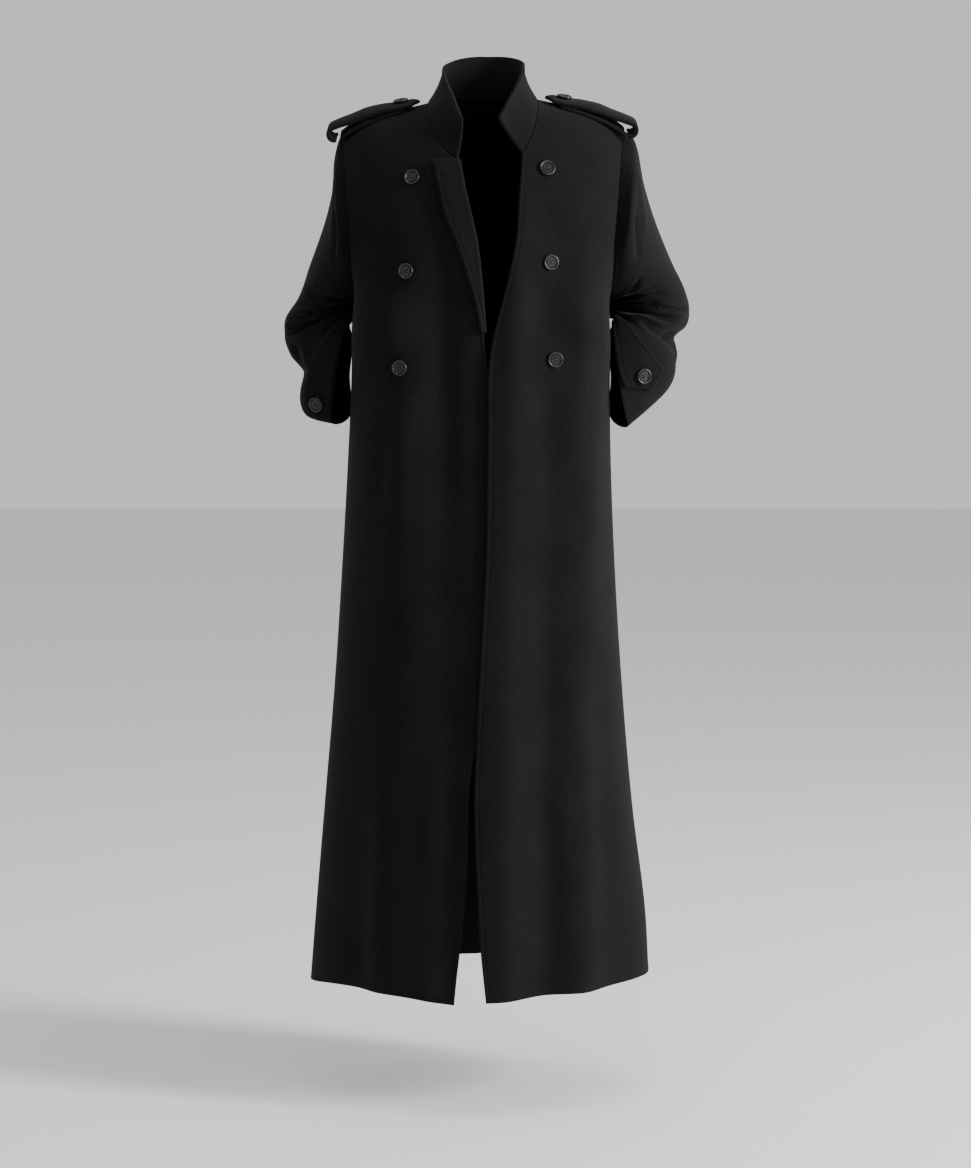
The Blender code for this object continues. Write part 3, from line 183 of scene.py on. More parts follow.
RIGHT_RINGS = [Ring(*row) for row in (
    (0.0, 0.21, 0.0, -0.051, 0.192, 0.0, -0.285, 0.08, 0.0, 0.0),
    (0.1, 0.2165, 0.002, -0.066, 0.199, 0.0, -0.288, 0.083, 0.0, 0.0),
    (0.2, 0.2215, 0.004, -0.09, 0.203, 0.003, -0.291, 0.085, 0.0, 0.0),
    (0.35, 0.225, 0.012, -0.135, 0.2052, 0.009, -0.294, 0.084, 0.0, 0.0),
    (0.5, 0.24, 0.026, -0.19, 0.2062, 0.016, -0.297, 0.08, 0.0, 0.0),
    (0.62, 0.262, 0.042, -0.248, 0.203, 0.029, -0.301, 0.077, 0.0, 0.0),
    (0.72, 0.28, 0.055, -0.296, 0.1995, 0.035, -0.306, 0.074, 0.05, 0.0),
    (0.78, 0.2985, 0.06, -0.325, 0.1987, 0.036, -0.311, 0.072, 0.08, 0.0),
    (0.84, 0.3, 0.055, -0.352, 0.199, 0.033, -0.316, 0.068, 0.1, 0.0),
    (0.88, 0.29, 0.048, -0.382, 0.201, 0.026, -0.32, 0.064, 0.12, 0.0),
    (0.92, 0.269, 0.036, -0.412, 0.2048, 0.014, -0.324, 0.058, 0.15, 0.0),
    (0.96, 0.274, 0.015, -0.448, 0.208, -0.003, -0.328, 0.05, 0.18, 0.003),
    (0.98, 0.264, -0.004, -0.474, 0.204, -0.005, -0.331, 0.046, 0.16, 0.005),
    (1.0, 0.226, -0.022, -0.484, 0.202, -0.006, -0.335, 0.042, 0.1, 0.009),
)]
SLEEVE_ROWS = (0.0, 0.035, 0.08, 0.14, 0.20, 0.28, 0.36, 0.44, 0.52, 0.59, 0.65, 0.70, 0.735,
               0.765, 0.79, 0.815, 0.84, 0.865, 0.89, 0.92, 0.945, 0.965, 0.983, 1.0)
SLEEVE_CELLS = 24            # cells round one ring of the solid
SLEEVE_ACROSS = 4            # columns of the cloth in one of those cells
SLEEVE_COLUMNS = SLEEVE_CELLS * SLEEVE_ACROSS
HIND_SEAM = -2 * SLEEVE_ACROSS  # column of the seam that runs down the back of the sleeve
FORE_SEAM = 11 * SLEEVE_ACROSS  # column of the seam under the forearm
SLEEVE_TWIST = math.radians(38)
TWIST_START = 0.25
TWIST_END = 0.80
ARMHOLE_BLEND = 0.22         # how far down the sleeve the armhole's own shape fades out
CREASE_FADE = 30.0           # degrees over which a crease's ends fade

# Creases in the crook of the elbow: a negative height goes in
Crease = namedtuple("Crease", "along start end half_width height")
LEFT_CREASES = [Crease(*row) for row in (
    (0.715, 55, 175, 0.02, -0.012), (0.765, 70, 185, 0.018, -0.013), (0.815, 45, 190, 0.022, -0.014),
    (0.885, 20, 120, 0.02, -0.008),
)]
RIGHT_CREASES = [Crease(*row) for row in (
    (0.7, 40, 175, 0.022, -0.01), (0.765, 60, 185, 0.02, -0.011), (0.82, 30, 190, 0.022, -0.013),
    (0.88, 10, 110, 0.02, -0.008),
)]

# Collar: the top edge from the right front corner, round the back, to the left front corner
TopPoint = namedtuple("TopPoint", "share x y z")
COLLAR_TOP = [TopPoint(*row) for row in (
    (0.0, -0.032, -0.127, -0.034), (0.08, -0.0395, -0.101, -0.012), (0.15, -0.0455, -0.079, 0.006),
    (0.22, -0.052, -0.054, 0.022), (0.3, -0.059, -0.02, 0.042), (0.37, -0.057, 0.014, 0.056),
    (0.43, -0.038, 0.043, 0.064), (0.5, 0.0, 0.056, 0.067), (0.57, 0.04, 0.043, 0.065),
    (0.63, 0.06, 0.014, 0.058), (0.7, 0.0625, -0.02, 0.046), (0.78, 0.056, -0.054, 0.026),
    (0.85, 0.047, -0.079, 0.008), (0.92, 0.037, -0.101, -0.01), (1.0, 0.025, -0.125, -0.034),
)]
COLLAR_SEAM = SEAM * 1.5     # gap between the collar and the neck seam
COLLAR_BOW = 0.004           # how far the stand hollows towards the neck
COLLAR_CENTRE = 0.030        # middle of the neck, this far in front of the origin

# Turned-out top of the right front
LapelPoint = namedtuple("LapelPoint", "height width")
LAPEL = [LapelPoint(*row) for row in (
    (-0.094, 0.034), (-0.166, 0.034), (-0.215, 0.026), (-0.255, 0.018), (-0.32, 0.006),
)]
LAPEL_ROLL = 0.0045          # how far the roll stands past the front's edge

# Buttons
BUTTON_RADIUS = 0.0115
ButtonPlace = namedtuple("ButtonPlace", "name x height")
FRONT_BUTTONS = [
    ButtonPlace("button_left_top", 0.094, -0.108),
    ButtonPlace("button_left_middle", 0.099, -0.244),
    ButtonPlace("button_left_low", 0.103, -0.385),
    ButtonPlace("button_right_top", -0.102, -0.115),
    ButtonPlace("button_right_middle", -0.110, -0.256),
    ButtonPlace("button_right_low", -0.117, -0.397),
]

# Shoulder straps: height above the shoulder line at each distance out
StrapPoint = namedtuple("StrapPoint", "x lift")
STRAP_TOP = [StrapPoint(*row) for row in (
    (0.104, 0.0112), (0.125, 0.0115), (0.15, 0.0145), (0.172, 0.0165), (0.192, 0.0185), (0.21, 0.0245),
    (0.224, 0.031),
)]
STRAP_WIDTH = 0.046
STRAP_CENTRE_Y = -0.022
STRAP_UNDER_INNER = 0.116
STRAP_UNDER_OUTER = 0.210
STRAP_END_POINT = 0.012      # how far the pointed end runs past its corners
STRAP_CURL_RADIUS = 0.0112
STRAP_CURL_TURN = math.radians(172)
STRAP_UNDER_LIFT = 0.0012    # clearance of the under run from the shoulder
STRAP_UNDER_THICKNESS = 0.004
STRAP_UNDER_SHARE = 0.96     # its width, as a share of the upper run's
STRAP_BEND_REACH = 0.165     # past here a strap keeps its bend across the shoulder

# Cuff straps, in rows and columns of the sleeve's grid, from the seam to the buttoned end
StrapStation = namedtuple("StrapStation", "upper_row upper_column cuff_row cuff_column")
LEFT_CUFF_STRAP = [StrapStation(*row) for row in (
    (19.1, 9.3, 22.9, 9.0), (19.5, 8.2, 22.9, 8.2), (20.2, 6.7, 22.9, 7.0), (20.5, 4.9, 22.9, 5.2),
    (20.5, 3.4, 22.9, 3.9), (20.4, 1.8, 22.7, 2.5),
)]
RIGHT_CUFF_STRAP = [StrapStation(*row) for row in (
    (18.7, 9.3, 22.9, 9.0), (18.7, 7.5, 22.9, 7.6), (19.2, 5.0, 22.9, 5.8), (20.1, 3.4, 22.8, 3.8),
    (21.3, 2.2, 22.9, 2.2), (21.9, 0.6, 22.9, 0.6),
)]
CUFF_STRAP_POINT = 0.020     # how far the pointed end runs past its corners
CUFF_STRAP_THICKNESS = 0.004

# Panel grids
FINER = 4                    # the cloth's grid is this many times finer than the solids'
PANEL_FINER = 5              # and this many times across the body
LOWER_ROWS = 13 * 6
FRONT_COLUMNS = 11 * PANEL_FINER
BACK_HALF_COLUMNS = 11 * PANEL_FINER
BACK_NECK_CELLS = 4 * PANEL_FINER
EDGE_STEPS = (0.0, 0.0016, 0.0032, 0.0046, 0.0058, 0.0070, 0.0084, 0.0110, 0.0150)

HEM_CELL = 0.080             # the solids' lowest row, over which the hem's rise fades
SLEEVE_FINER = 5


def smoothstep(value):
    value = np.clip(value, 0.0, 1.0)
    return value * value * (3.0 - 2.0 * value)


def through(rows, at):
    """Read a table's other columns at new keys, on smooth curves through its rows."""
    table = np.array(rows, dtype=float)
    if table[0, 0] > table[-1, 0]:
        table = table[::-1]
    key = table[:, 0]
    values = table[:, 1:]
    at = np.clip(np.asarray(at, dtype=float), key[0], key[-1])
    step = np.diff(key)
    slope = np.diff(values, axis=0) / step[:, None]
    tangent = np.empty_like(values)
    tangent[0] = slope[0]
    tangent[-1] = slope[-1]
    weight = (step[:-1] / (step[:-1] + step[1:]))[:, None]
    tangent[1:-1] = slope[:-1] * (1.0 - weight) + slope[1:] * weight
    turns = slope[:-1] * slope[1:] <= 0.0
    tangent[1:-1][turns] = 0.0
    span = np.clip(np.searchsorted(key, at, side="right") - 1, 0, len(key) - 2)
    width = step[span]
    t = (at - key[span]) / width
    t = t[..., None]
    width = width[..., None]
    start = values[span]
    end = values[span + 1]
    return ((2 * t**3 - 3 * t**2 + 1) * start + (t**3 - 2 * t**2 + t) * width * tangent[span]
            + (3 * t**2 - 2 * t**3) * end + (t**3 - t**2) * width * tangent[span + 1])


def column(rows, at):
    """Read a two-column table at new keys."""
    return through(rows, at)[..., 0]


def shoulder_height(x):
    """Height of the shoulder line, carried on inside the collar."""
    out = np.abs(x)
    over = column(SHOULDER_LINE, out)
    inside = NECK_CENTRE_RISE * (1.0 - np.clip(out / SHOULDER_NECK, 0.0, 1.0))
    return np.where(out < SHOULDER_NECK, inside, over)


def settle(points):
    """Lower the right shoulder a little."""
    points = np.array(points, dtype=float)
    x = points[..., 0]
    z = points[..., 2]
    drop = RIGHT_SHOULDER_DROP * smoothstep(-x / DROP_REACH) * smoothstep((z - DROP_FOOT) / DROP_RISE)
    points[..., 2] = z - drop
    return points


def fold_heights(folds, x, z):
    """Sum of the soft folds at x and height z."""
    total = np.zeros(np.broadcast(x, z).shape)
    for fold in folds:
        down = np.clip((fold.start - z) / (fold.start - HEM), 0.0, 1.0)
        middle = fold.x_top + (fold.x_hem - fold.x_top) * down
        width = fold.width_top + (fold.width_hem - fold.width_top) * down
        grown = smoothstep((fold.start - z) / FOLD_GROWTH)
        total = total + fold.height * grown * np.exp(-((x - middle) / width) ** 2)
    return total


def body_depth(x, z, side, least_squareness=0.0):
    """Depth factors of the coat's outside: front, back and how near x is to the side."""
    section = through(SECTIONS, z)
    half = np.where(side > 0, section[..., 0], section[..., 1])
    squareness = np.maximum(section[..., 4], least_squareness)
    share = np.clip(np.abs(x) / half, 0.0, 1.0)
    across = (1.0 - share ** squareness) ** (1.0 / squareness)
    rise = np.clip((z - SHOULDER_ROUNDING) / (shoulder_height(x) - SHOULDER_ROUNDING), 0.0, 1.0)
    over = np.sqrt(1.0 - rise * rise)
    return section[..., 2] * across * over, section[..., 3] * across * over, across


def side_fade(across):
    """Keep folds and bulges away from the seams, where both pieces share their points."""
    return smoothstep(across / SIDE_FADE)


def front_points(x, z, side):
    """Points of the front's outside at x and height z."""
    x = np.asarray(x, dtype=float)
    z = np.asarray(z, dtype=float)
    depth, _, across = body_depth(x, z, side)
    folds = LEFT_FRONT_FOLDS if side > 0 else RIGHT_FRONT_FOLDS
    lift = fold_heights(folds, x, z)
    near = np.exp(-((np.abs(x) - POCKET_X) / POCKET_REACH) ** 2
                  - ((z - POCKET_HEIGHT) / POCKET_REACH) ** 2)
    bulge = POCKET_BULGE * near
    lap = smoothstep(1.0 - np.abs(x) / LAP_WIDTH)
    lap = lap * smoothstep((LAP_TOP - z) / LAP_TOP_FADE) * smoothstep((z - LAP_FOOT) / LAP_FOOT_FADE)
    rim = side_fade(across) * smoothstep((shoulder_height(x) - z) / FRONT_TOP_FADE)
    y = -(depth + rim * (lift + bulge) + side * LAP_STEP * lap)
    x = x + side * rim * POCKET_SIDEWAYS * bulge
    return settle(np.stack(np.broadcast_arrays(x, y, z), axis=-1))


def back_points(x, z):
    """Points of the back's outside at x and height z."""
    x = np.asarray(x, dtype=float)
    z = np.asarray(z, dtype=float)
    _, depth, across = body_depth(x, z, np.sign(x + 1e-9), BACK_SQUARENESS)
    rim = side_fade(across) * smoothstep((shoulder_height(x) - z) / BACK_TOP_FADE)
    y = depth + rim * fold_heights(BACK_FOLDS, x, z)
    return settle(np.stack(np.broadcast_arrays(x, y, z), axis=-1))


def refine(values, times):
    """Divide each step of a list into several."""
    values = np.array(values, dtype=float)
    at = np.linspace(0.0, len(values) - 1.0, (len(values) - 1) * times + 1)
    return np.interp(at, np.arange(len(values)), values)


def lower_heights():
    """Row heights from the hem up to, but not with, the underarm."""
    return np.linspace(HEM, UNDERARM, LOWER_ROWS + 1)[:-1]


def side_line(side):
    """X and height of one side seam and armhole edge, row by row."""
    z = np.concatenate([lower_heights(), refine(ARMHOLE_ROWS, FINER)])
    section = through(SECTIONS, z)
    half = section[:, 0] if side > 0 else section[:, 1]
    x = np.where(z < UNDERARM, half, column(ARMHOLE, z))
    return side * x, z


def front_line(edge, neckline):
    """X and height of one front edge and neck seam, row by row."""
    top = edge[-1].height
    upper = np.linspace(UNDERARM, top, 6 * FINER + 1)[:-1]
    z_edge = np.concatenate([lower_heights(), upper])
    x_edge = column(edge, z_edge)
    z_neck = top + (0.0 - top) * refine((0.0,) + NECKLINE_SHARES, FINER)
    x_neck = column(neckline, z_neck)
    return np.concatenate([x_edge, x_neck]), np.concatenate([z_edge, z_neck])


def top_weight(rows):
    """0 up to the underarm, then 1 at the shoulder line."""
    row = np.arange(rows)
    return np.clip((row - LOWER_ROWS) / (rows - 1 - LOWER_ROWS), 0.0, 1.0)


def front_grid(side, edge, neckline):
    """Rows from hem to shoulder, columns from the front edge to the side."""
    x_front, z_front = front_line(edge, neckline)
    x_side, z_side = side_line(side)
    turn = np.linspace(0.0, math.pi / 2, FRONT_COLUMNS + 1)[1:]
    width = np.abs(x_side - x_front)[:, None]
    near = np.array(EDGE_STEPS)[None, :] / width
    across = np.concatenate([near, near[:, -1:] + (1.0 - near[:, -1:]) * np.sin(turn)[None, :]], axis=1)
    x = x_front[:, None] + (x_side - x_front)[:, None] * across
    z = z_front[:, None] + (z_side - z_front)[:, None] * across
    ridge = shoulder_height(x)
    straight = ridge[:, :1] + (ridge[:, -1:] - ridge[:, :1]) * across
    z = z + top_weight(len(x_front))[:, None] ** 2 * (ridge - straight)
    rise = through(HEM_RISE, across[0])[:, 0 if side > 0 else 1]
    z = z + rise[None, :] * np.clip(1.0 - (z_front - HEM) / HEM_CELL, 0.0, 1.0)[:, None]
    return front_points(x, z, side)


def neck_back_height(x):
    """Height of the back neck seam, or of the shoulder line beside it."""
    inside = np.clip(np.abs(x) / SHOULDER_NECK, 0.0, 1.0)
    seam = BACK_NECK_RISE * np.sqrt(1.0 - inside * inside)
    return np.where(np.abs(x) < SHOULDER_NECK, seam, shoulder_height(x))


def back_turns():
    """Angles across half the back, with one at the shoulder and collar point."""
    neck = math.asin(SHOULDER_NECK / SHOULDER_TIP)
    inner = np.linspace(0.0, neck, BACK_NECK_CELLS + 1)
    outer = np.linspace(neck, math.pi / 2, BACK_HALF_COLUMNS + 1 - BACK_NECK_CELLS)
    half = np.concatenate([inner, outer[1:]])
    return np.concatenate([-half[::-1], half[1:]])


def back_grid():
    """Rows from hem to shoulder, columns from the right side to the left."""
    x_left, z_side = side_line(1)
    x_right, _ = side_line(-1)
    across = np.sin(back_turns())[None, :]
    x = np.where(across > 0, x_left[:, None] * across, -x_right[:, None] * across)
    top = neck_back_height(x[-1])
    climb = (z_side - UNDERARM) / (z_side[-1] - UNDERARM)
    climb = np.clip(climb, 0.0, 1.0)[:, None]
    z = z_side[:, None] + climb * (top - z_side[-1])[None, :]
    return back_points(x, z)


def normals_of(grid):
    """Unit normals of a grid of points, from the points round each."""
    along = np.gradient(grid, axis=0)
    across = np.gradient(grid, axis=1)
    normal = np.cross(across, along)
    length = np.linalg.norm(normal, axis=-1, keepdims=True)
    return normal / np.maximum(length, 1e-12)


def unit(vector):
    return vector / np.maximum(np.linalg.norm(vector, axis=-1, keepdims=True), 1e-12)


def draw_in(grid, edges, gap=HALF_SEAM):
    """Move named edges of a grid in by half a seam gap."""
    grid = grid.copy()
    for edge in edges:
        if edge == "foot":
            grid[0] += gap * unit(grid[1] - grid[0])
        elif edge == "head":
            grid[-1] += gap * unit(grid[-2] - grid[-1])
        elif edge == "start":
            grid[:, 0] += gap * unit(grid[:, 1] - grid[:, 0])
        else:
            grid[:, -1] += gap * unit(grid[:, -2] - grid[:, -1])
    return grid


def sleeve_ring_points(rings, along, angle, side):
    """Points of a sleeve's rings at shares along it and angles round it."""
    ring = through(rings, along)
    outer = ring[..., 0:3]
    inner = ring[..., 3:6]
    half_depth = ring[..., 6]
    lean = ring[..., 7]
    middle = (outer + inner) / 2
    half = (outer - inner) / 2
    forward = unit(np.stack([lean, -np.ones_like(lean), np.zeros_like(lean)], axis=-1))
    points = (middle + np.cos(angle)[..., None] * half
              + (half_depth * np.sin(angle))[..., None] * forward)
    points[..., 0] -= ring[..., 8] * np.clip(-np.sin(angle), 0.0, 1.0)
    points[..., 0] *= side
    return points


def crease_heights(creases, along, angle):
    """How far the crook's creases push the sleeve's cloth in or out."""
    degrees = np.degrees(angle) % 360.0
    total = np.zeros_like(along)
    for crease in creases:
        inside = smoothstep((degrees - crease.start) / CREASE_FADE)
        inside = inside * smoothstep((crease.end - degrees) / CREASE_FADE)
        shape = np.exp(-((along - crease.along) / crease.half_width) ** 2)
        total = total + crease.height * inside * shape
    return total


def sleeve_angles(along, columns):
    """Angles of the grid lines, which twist round the sleeve on the way down."""
    twist = SLEEVE_TWIST * smoothstep((along - TWIST_START) / (TWIST_END - TWIST_START))
    return columns * (2 * math.pi / SLEEVE_COLUMNS) + twist


def sleeve_grid(side, rings, creases, armhole):
    """Rows from the armhole to the cuff, columns once round and closed."""
    along = refine(SLEEVE_ROWS, SLEEVE_FINER)[:, None]
    columns = np.arange(SLEEVE_COLUMNS + 1)[None, :]
    along, columns = np.broadcast_arrays(along, columns)
    angle = sleeve_angles(along, columns)
    points = sleeve_ring_points(rings, along, angle, side)
    ring = armhole[None, :, :]
    start = sleeve_ring_points(rings, np.zeros_like(along), angle, side)
    keep = 1.0 - smoothstep(along / ARMHOLE_BLEND)
    points = points + keep[..., None] * (ring - start)
    normal = normals_of(np.concatenate([points[:, -2:-1], points, points[:, 1:2]], axis=1))[:, 1:-1]
    outward = points - points[:, :-1].mean(axis=1, keepdims=True)
    if (normal * outward).sum() < 0.0:
        normal = -normal
    points = points + crease_heights(creases, along, angle)[..., None] * normal
    normal = normals_of(np.concatenate([points[:, -2:-1], points, points[:, 1:2]], axis=1))[:, 1:-1]
    if (normal * outward).sum() < 0.0:
        normal = -normal
    return points, normal


def armhole_ring(front, back_column):
    """The armhole once round: shoulder tip, front, underarm, back and the tip again."""
    going_down = front[LOWER_ROWS:, -1][::-1]
    going_up = back_column[LOWER_ROWS:]
    return np.concatenate([going_down, going_up[1:]])


def body_normals(grid, outward_y):
    normal = normals_of(grid)
    if (normal[..., 1] * outward_y).sum() < 0.0:
        normal = -normal
    return normal


def share_side(front_normal, back_normal, back_column):
    """Side seam, from the hem to the underarm."""
    seam = slice(0, LOWER_ROWS + 1)
    mean = unit(front_normal[seam, -1] + back_normal[seam, back_column])
    front_normal[seam, -1] = mean
    back_normal[seam, back_column] = mean


def share_shoulder(front, front_normal, back, back_normal, side):
    """Shoulder seam: both pieces take the mean of the normals at the nearest points."""
    middle = back.shape[1] // 2
    if side > 0:
        columns = list(range(middle + BACK_NECK_CELLS, back.shape[1]))
    else:
        columns = list(range(middle - BACK_NECK_CELLS, -1, -1))
    back_x = np.abs(back[-1, columns, 0])
    front_x = np.abs(front[-1, :, 0])
    for j in range(front.shape[1]):
        other = np.array([np.interp(front_x[j], back_x, back_normal[-1, columns, k]) for k in range(3)])
        mean = unit(front_normal[-1, j] + other)
        mean[1] = 0.0
        front_normal[-1, j] = unit(mean)
    for k in columns:
        mean = back_normal[-1, k].copy()
        mean[1] = 0.0
        back_normal[-1, k] = unit(mean)


def share_armhole(front_normal, back_normal, back_column, sleeve_normal):
    """Armhole seam: body and sleeve meet on the mean of their normals."""
    last = SLEEVE_COLUMNS // 2
    for k in range(last + 1):
        row = front_normal.shape[0] - 1 - k
        mean = unit(front_normal[row, -1] + sleeve_normal[0, k])
        front_normal[row, -1] = mean
        sleeve_normal[0, k] = mean
    for k in range(last, SLEEVE_COLUMNS + 1):
        row = LOWER_ROWS + k - last
        mean = unit(back_normal[row, back_column] + sleeve_normal[0, k])
        back_normal[row, back_column] = mean
        sleeve_normal[0, k] = mean
    sleeve_normal[0, 0] = front_normal[-1, -1]
    sleeve_normal[0, -1] = front_normal[-1, -1]
    back_normal[-1, back_column] = front_normal[-1, -1]
    back_normal[LOWER_ROWS, back_column] = front_normal[LOWER_ROWS, -1]
    sleeve_normal[0, last] = front_normal[LOWER_ROWS, -1]


def surface_normal(point_of, x, z, reach=0.002):
    """Outward normal of a front at x and height z."""
    east = point_of(x + reach, z) - point_of(x - reach, z)
    north = point_of(x, z + reach) - point_of(x, z - reach)
    normal = unit(np.cross(east, north))
    return np.where(normal[..., 1:2] > 0, -normal, normal)


def front_of(side):
    return lambda x, z: front_points(x, z, side)


def on_panel(grid, rows, columns):
    """Read a panel's points or normals between its grid lines."""
    rows, columns = np.broadcast_arrays(rows, columns)
    i = np.clip(np.floor(rows).astype(int), 0, grid.shape[0] - 2)
    j = np.clip(np.floor(columns).astype(int), 0, grid.shape[1] - 2)
    a = (rows - i)[..., None]
    b = (columns - j)[..., None]
    low = grid[i, j] * (1 - b) + grid[i, j + 1] * b
    high = grid[i + 1, j] * (1 - b) + grid[i + 1, j + 1] * b
    return low * (1 - a) + high * a


def shoulder_top(x, y):
    """Height of the coat's shoulder at x and y."""
    ridge = shoulder_height(x)
    section = through(SECTIONS, ridge - 0.05)
    half = section[..., 0]
    squareness = section[..., 4]
    reach = np.minimum(np.abs(x), STRAP_BEND_REACH)
    across = (1.0 - (reach / half) ** squareness) ** (1.0 / squareness)
    depth = np.where(y < 0, section[..., 2], section[..., 3]) * across
    bend = np.sqrt(1.0 - np.clip(y / depth, -0.999, 0.999) ** 2)
    return SHOULDER_ROUNDING + (ridge - SHOULDER_ROUNDING) * bend


def strap_cross(x, z_lift, side, widths):
    """Points across a shoulder strap at each station along it."""
    y = STRAP_CENTRE_Y + STRAP_WIDTH * widths
    x, y = np.broadcast_arrays(x, y)
    z = shoulder_top(x, y) + z_lift
    return np.stack([side * x, y, z], axis=-1)


# Finish of the cloth
HALF_ROUND_STEPS = 3
BUTTON_CALM = 0.050          # folds fade over this distance towards a sewn button
RIM_SHARE = 0.9              # how far a panel's round edge stands out, as a share of half its thickness
SHELL_RIM_SHARE = 0.6        # the same, for a strap's or the lapel's
# The crook's inner side is tucked behind the edge of the body: how far in and back, and where
CROOK_TUCK = 0.0135
CROOK_BACK = 0.0120
TUCK_START, TUCK_GROWTH, TUCK_END, TUCK_FADE = 0.02, 0.14, 0.99, 0.10
TUCK_TURN, TUCK_SPAN = 180.0, 85.0
# The cuff's lower back edge opens towards the body
CUFF_SPREAD = 0.0180
SPREAD_START, SPREAD_GROWTH = 0.90, 0.10
SPREAD_TURN, SPREAD_SPAN = 325.0, 62.0
LAPEL_CLEARANCE = 0.0008     # the lapel's underside above the front, beside the roll
CUFF_CLEARANCE = 0.0008      # the cuff strap's underside above the sleeve
LAPEL_LIFT = 0.0030          # how much higher the lapel's free edge lies
LAPEL_LIFT_LEAST = 0.35      # share of that lift where the lapel is narrow
HOLE_X = -0.0500
HOLE_Z = -0.118
HOLE_LENGTH = 0.010
HOLE_LIFT = 0.0003
HOLE_HALF = 0.0008           # half the buttonhole's width
HOLE_STITCH = 0.0005
LAPEL_TIP = -0.345
LAPEL_TIP_WIDTH = 0.003
SIDE_BLEND = 12              # columns over which the back meets the side seam
SEAM_DIP = 0.0009            # how far the cloth sinks into a sewn seam
SEAM_DIP_WIDTH = 0.0030
SEAM_CALM = 0.035            # folds fade over this distance towards a seam
STITCH_LINE = 0.0006         # the stitches' relief fades over this distance
STITCH_LENGTH = 0.0038
STITCH_RELIEF = 1.6
NAP_SHARE = 0.6              # the nap's part in the relief, against the felt
STITCH_IN = 0.0060           # topstitching, this far in from an edge
STITCH_DEPTH = 0.0006
STITCH_WIDTH = 0.0010
BAND_PUFF = 0.0005           # how far the edge outside the stitching stands up

PHOTO_HEIGHT = 1168
FOCAL_PIXELS = 3052
CAMERA_PLACE = (0.0045, -4.6, -0.32)
CAMERA_PITCH = 5.04          # degrees down
FLOOR_HEIGHT = -1.50
FLOOR_HALF = 14.0


def add_object(name, data):
    item = bpy.data.objects.new(name, data)
    bpy.context.scene.collection.objects.link(item)
    return item


def make_mesh(name, vertices, faces, material, uv):
    """Make one smooth piece of the coat, its faces pointing out."""
    mesh = bpy.data.meshes.new(name)
    mesh.from_pydata(vertices.tolist(), [], faces)
    layer = mesh.uv_layers.new(name="edge")
    index = np.empty(len(mesh.loops), dtype=np.int32)
    mesh.loops.foreach_get("vertex_index", index)
    layer.data.foreach_set("uv", uv[index].astype(np.float32).ravel())
    work = bmesh.new()
    work.from_mesh(mesh)
    if work.calc_volume(signed=True) < 0.0:
        bmesh.ops.reverse_faces(work, faces=work.faces)
    work.to_mesh(mesh)
    work.free()
    mesh.shade_smooth()
    mesh.materials.append(material)
    return add_object(name, mesh)


def quads(rows, columns, offset, flip):
    i, j = np.meshgrid(np.arange(rows - 1), np.arange(columns - 1), indexing="ij")
    a = (offset + i * columns + j).ravel()
    faces = np.stack([a, a + 1, a + columns + 1, a + columns], axis=1)
    if flip:
        faces = faces[:, ::-1]
    return faces.tolist()


def rim_loop(rows, columns):
    loop = list(range(columns))
    loop += [i * columns + columns - 1 for i in range(1, rows)]
    loop += [(rows - 1) * columns + j for j in range(columns - 2, -1, -1)]
    loop += [i * columns for i in range(rows - 2, 0, -1)]
    return loop


def edge_ways(grid, edges):
    """Unit steps out over the named edges of a grid, and none elsewhere."""
    out = np.zeros_like(grid)
    if "foot" in edges:
        out[0] += unit(grid[0] - grid[1])
    if "head" in edges:
        out[-1] += unit(grid[-1] - grid[-2])
    if "start" in edges:
        out[:, 0] += unit(grid[:, 0] - grid[:, 1])
    if "end" in edges:
        out[:, -1] += unit(grid[:, -1] - grid[:, -2])
    return out


def close_grids(name, outer, inner, outward, stand, material, edge_run):
    """Close two matching grids round a rim that stands out by a half round."""
    rows, columns = outer.shape[:2]
    count = rows * columns
    loop = np.array(rim_loop(rows, columns))
    flat_outer = outer.reshape(-1, 3)
    flat_inner = inner.reshape(-1, 3)
    middle = (flat_outer[loop] + flat_inner[loop]) / 2
    arm = (flat_outer[loop] - flat_inner[loop]) / 2
    vertices = [flat_outer, flat_inner]
    loops = [loop]
    for k in range(HALF_ROUND_STEPS):
        turn = math.pi * (k + 1) / (HALF_ROUND_STEPS + 1)
        vertices.append(middle + math.cos(turn) * arm + math.sin(turn) * stand * outward)
        loops.append(2 * count + k * len(loop) + np.arange(len(loop)))
    loops.append(loop + count)
    vertices = np.concatenate(vertices)
    faces = quads(rows, columns, 0, False) + quads(rows, columns, count, True)
    for first, second in zip(loops, loops[1:]):
        for k in range(len(loop)):
            m = (k + 1) % len(loop)
            faces.append((int(first[m]), int(first[k]), int(second[k]), int(second[m])))
    uv = np.ones((len(vertices), 2)) * 0.5
    if edge_run is not None:
        uv[:count] = edge_run.reshape(-1, 2)
    return make_mesh(name, vertices, faces, material, uv)


def cloth_piece(name, outer, normals, thickness, material, free=(), edge_run=None):
    """A wall of cloth: free edges are turned and round, the others are sewn flat."""
    loop = rim_loop(*outer.shape[:2])
    outward = edge_ways(outer, free)
    stand = thickness / 2 * RIM_SHARE
    outer = outer - outward * stand
    inner = outer - thickness * normals
    return close_grids(name, outer, inner, outward.reshape(-1, 3)[loop], stand, material, edge_run)


def shell(name, outer, inner, material, edge_run=None):
    """A doubled piece between two matching grids, all its edges turned."""
    loop = rim_loop(*outer.shape[:2])
    outward = unit(edge_ways(outer, ("foot", "head", "start", "end")).reshape(-1, 3)[loop])
    half = np.linalg.norm((outer - inner).reshape(-1, 3)[loop] / 2, axis=1, keepdims=True)
    return close_grids(name, outer, inner, outward, half * SHELL_RIM_SHARE, material, edge_run)


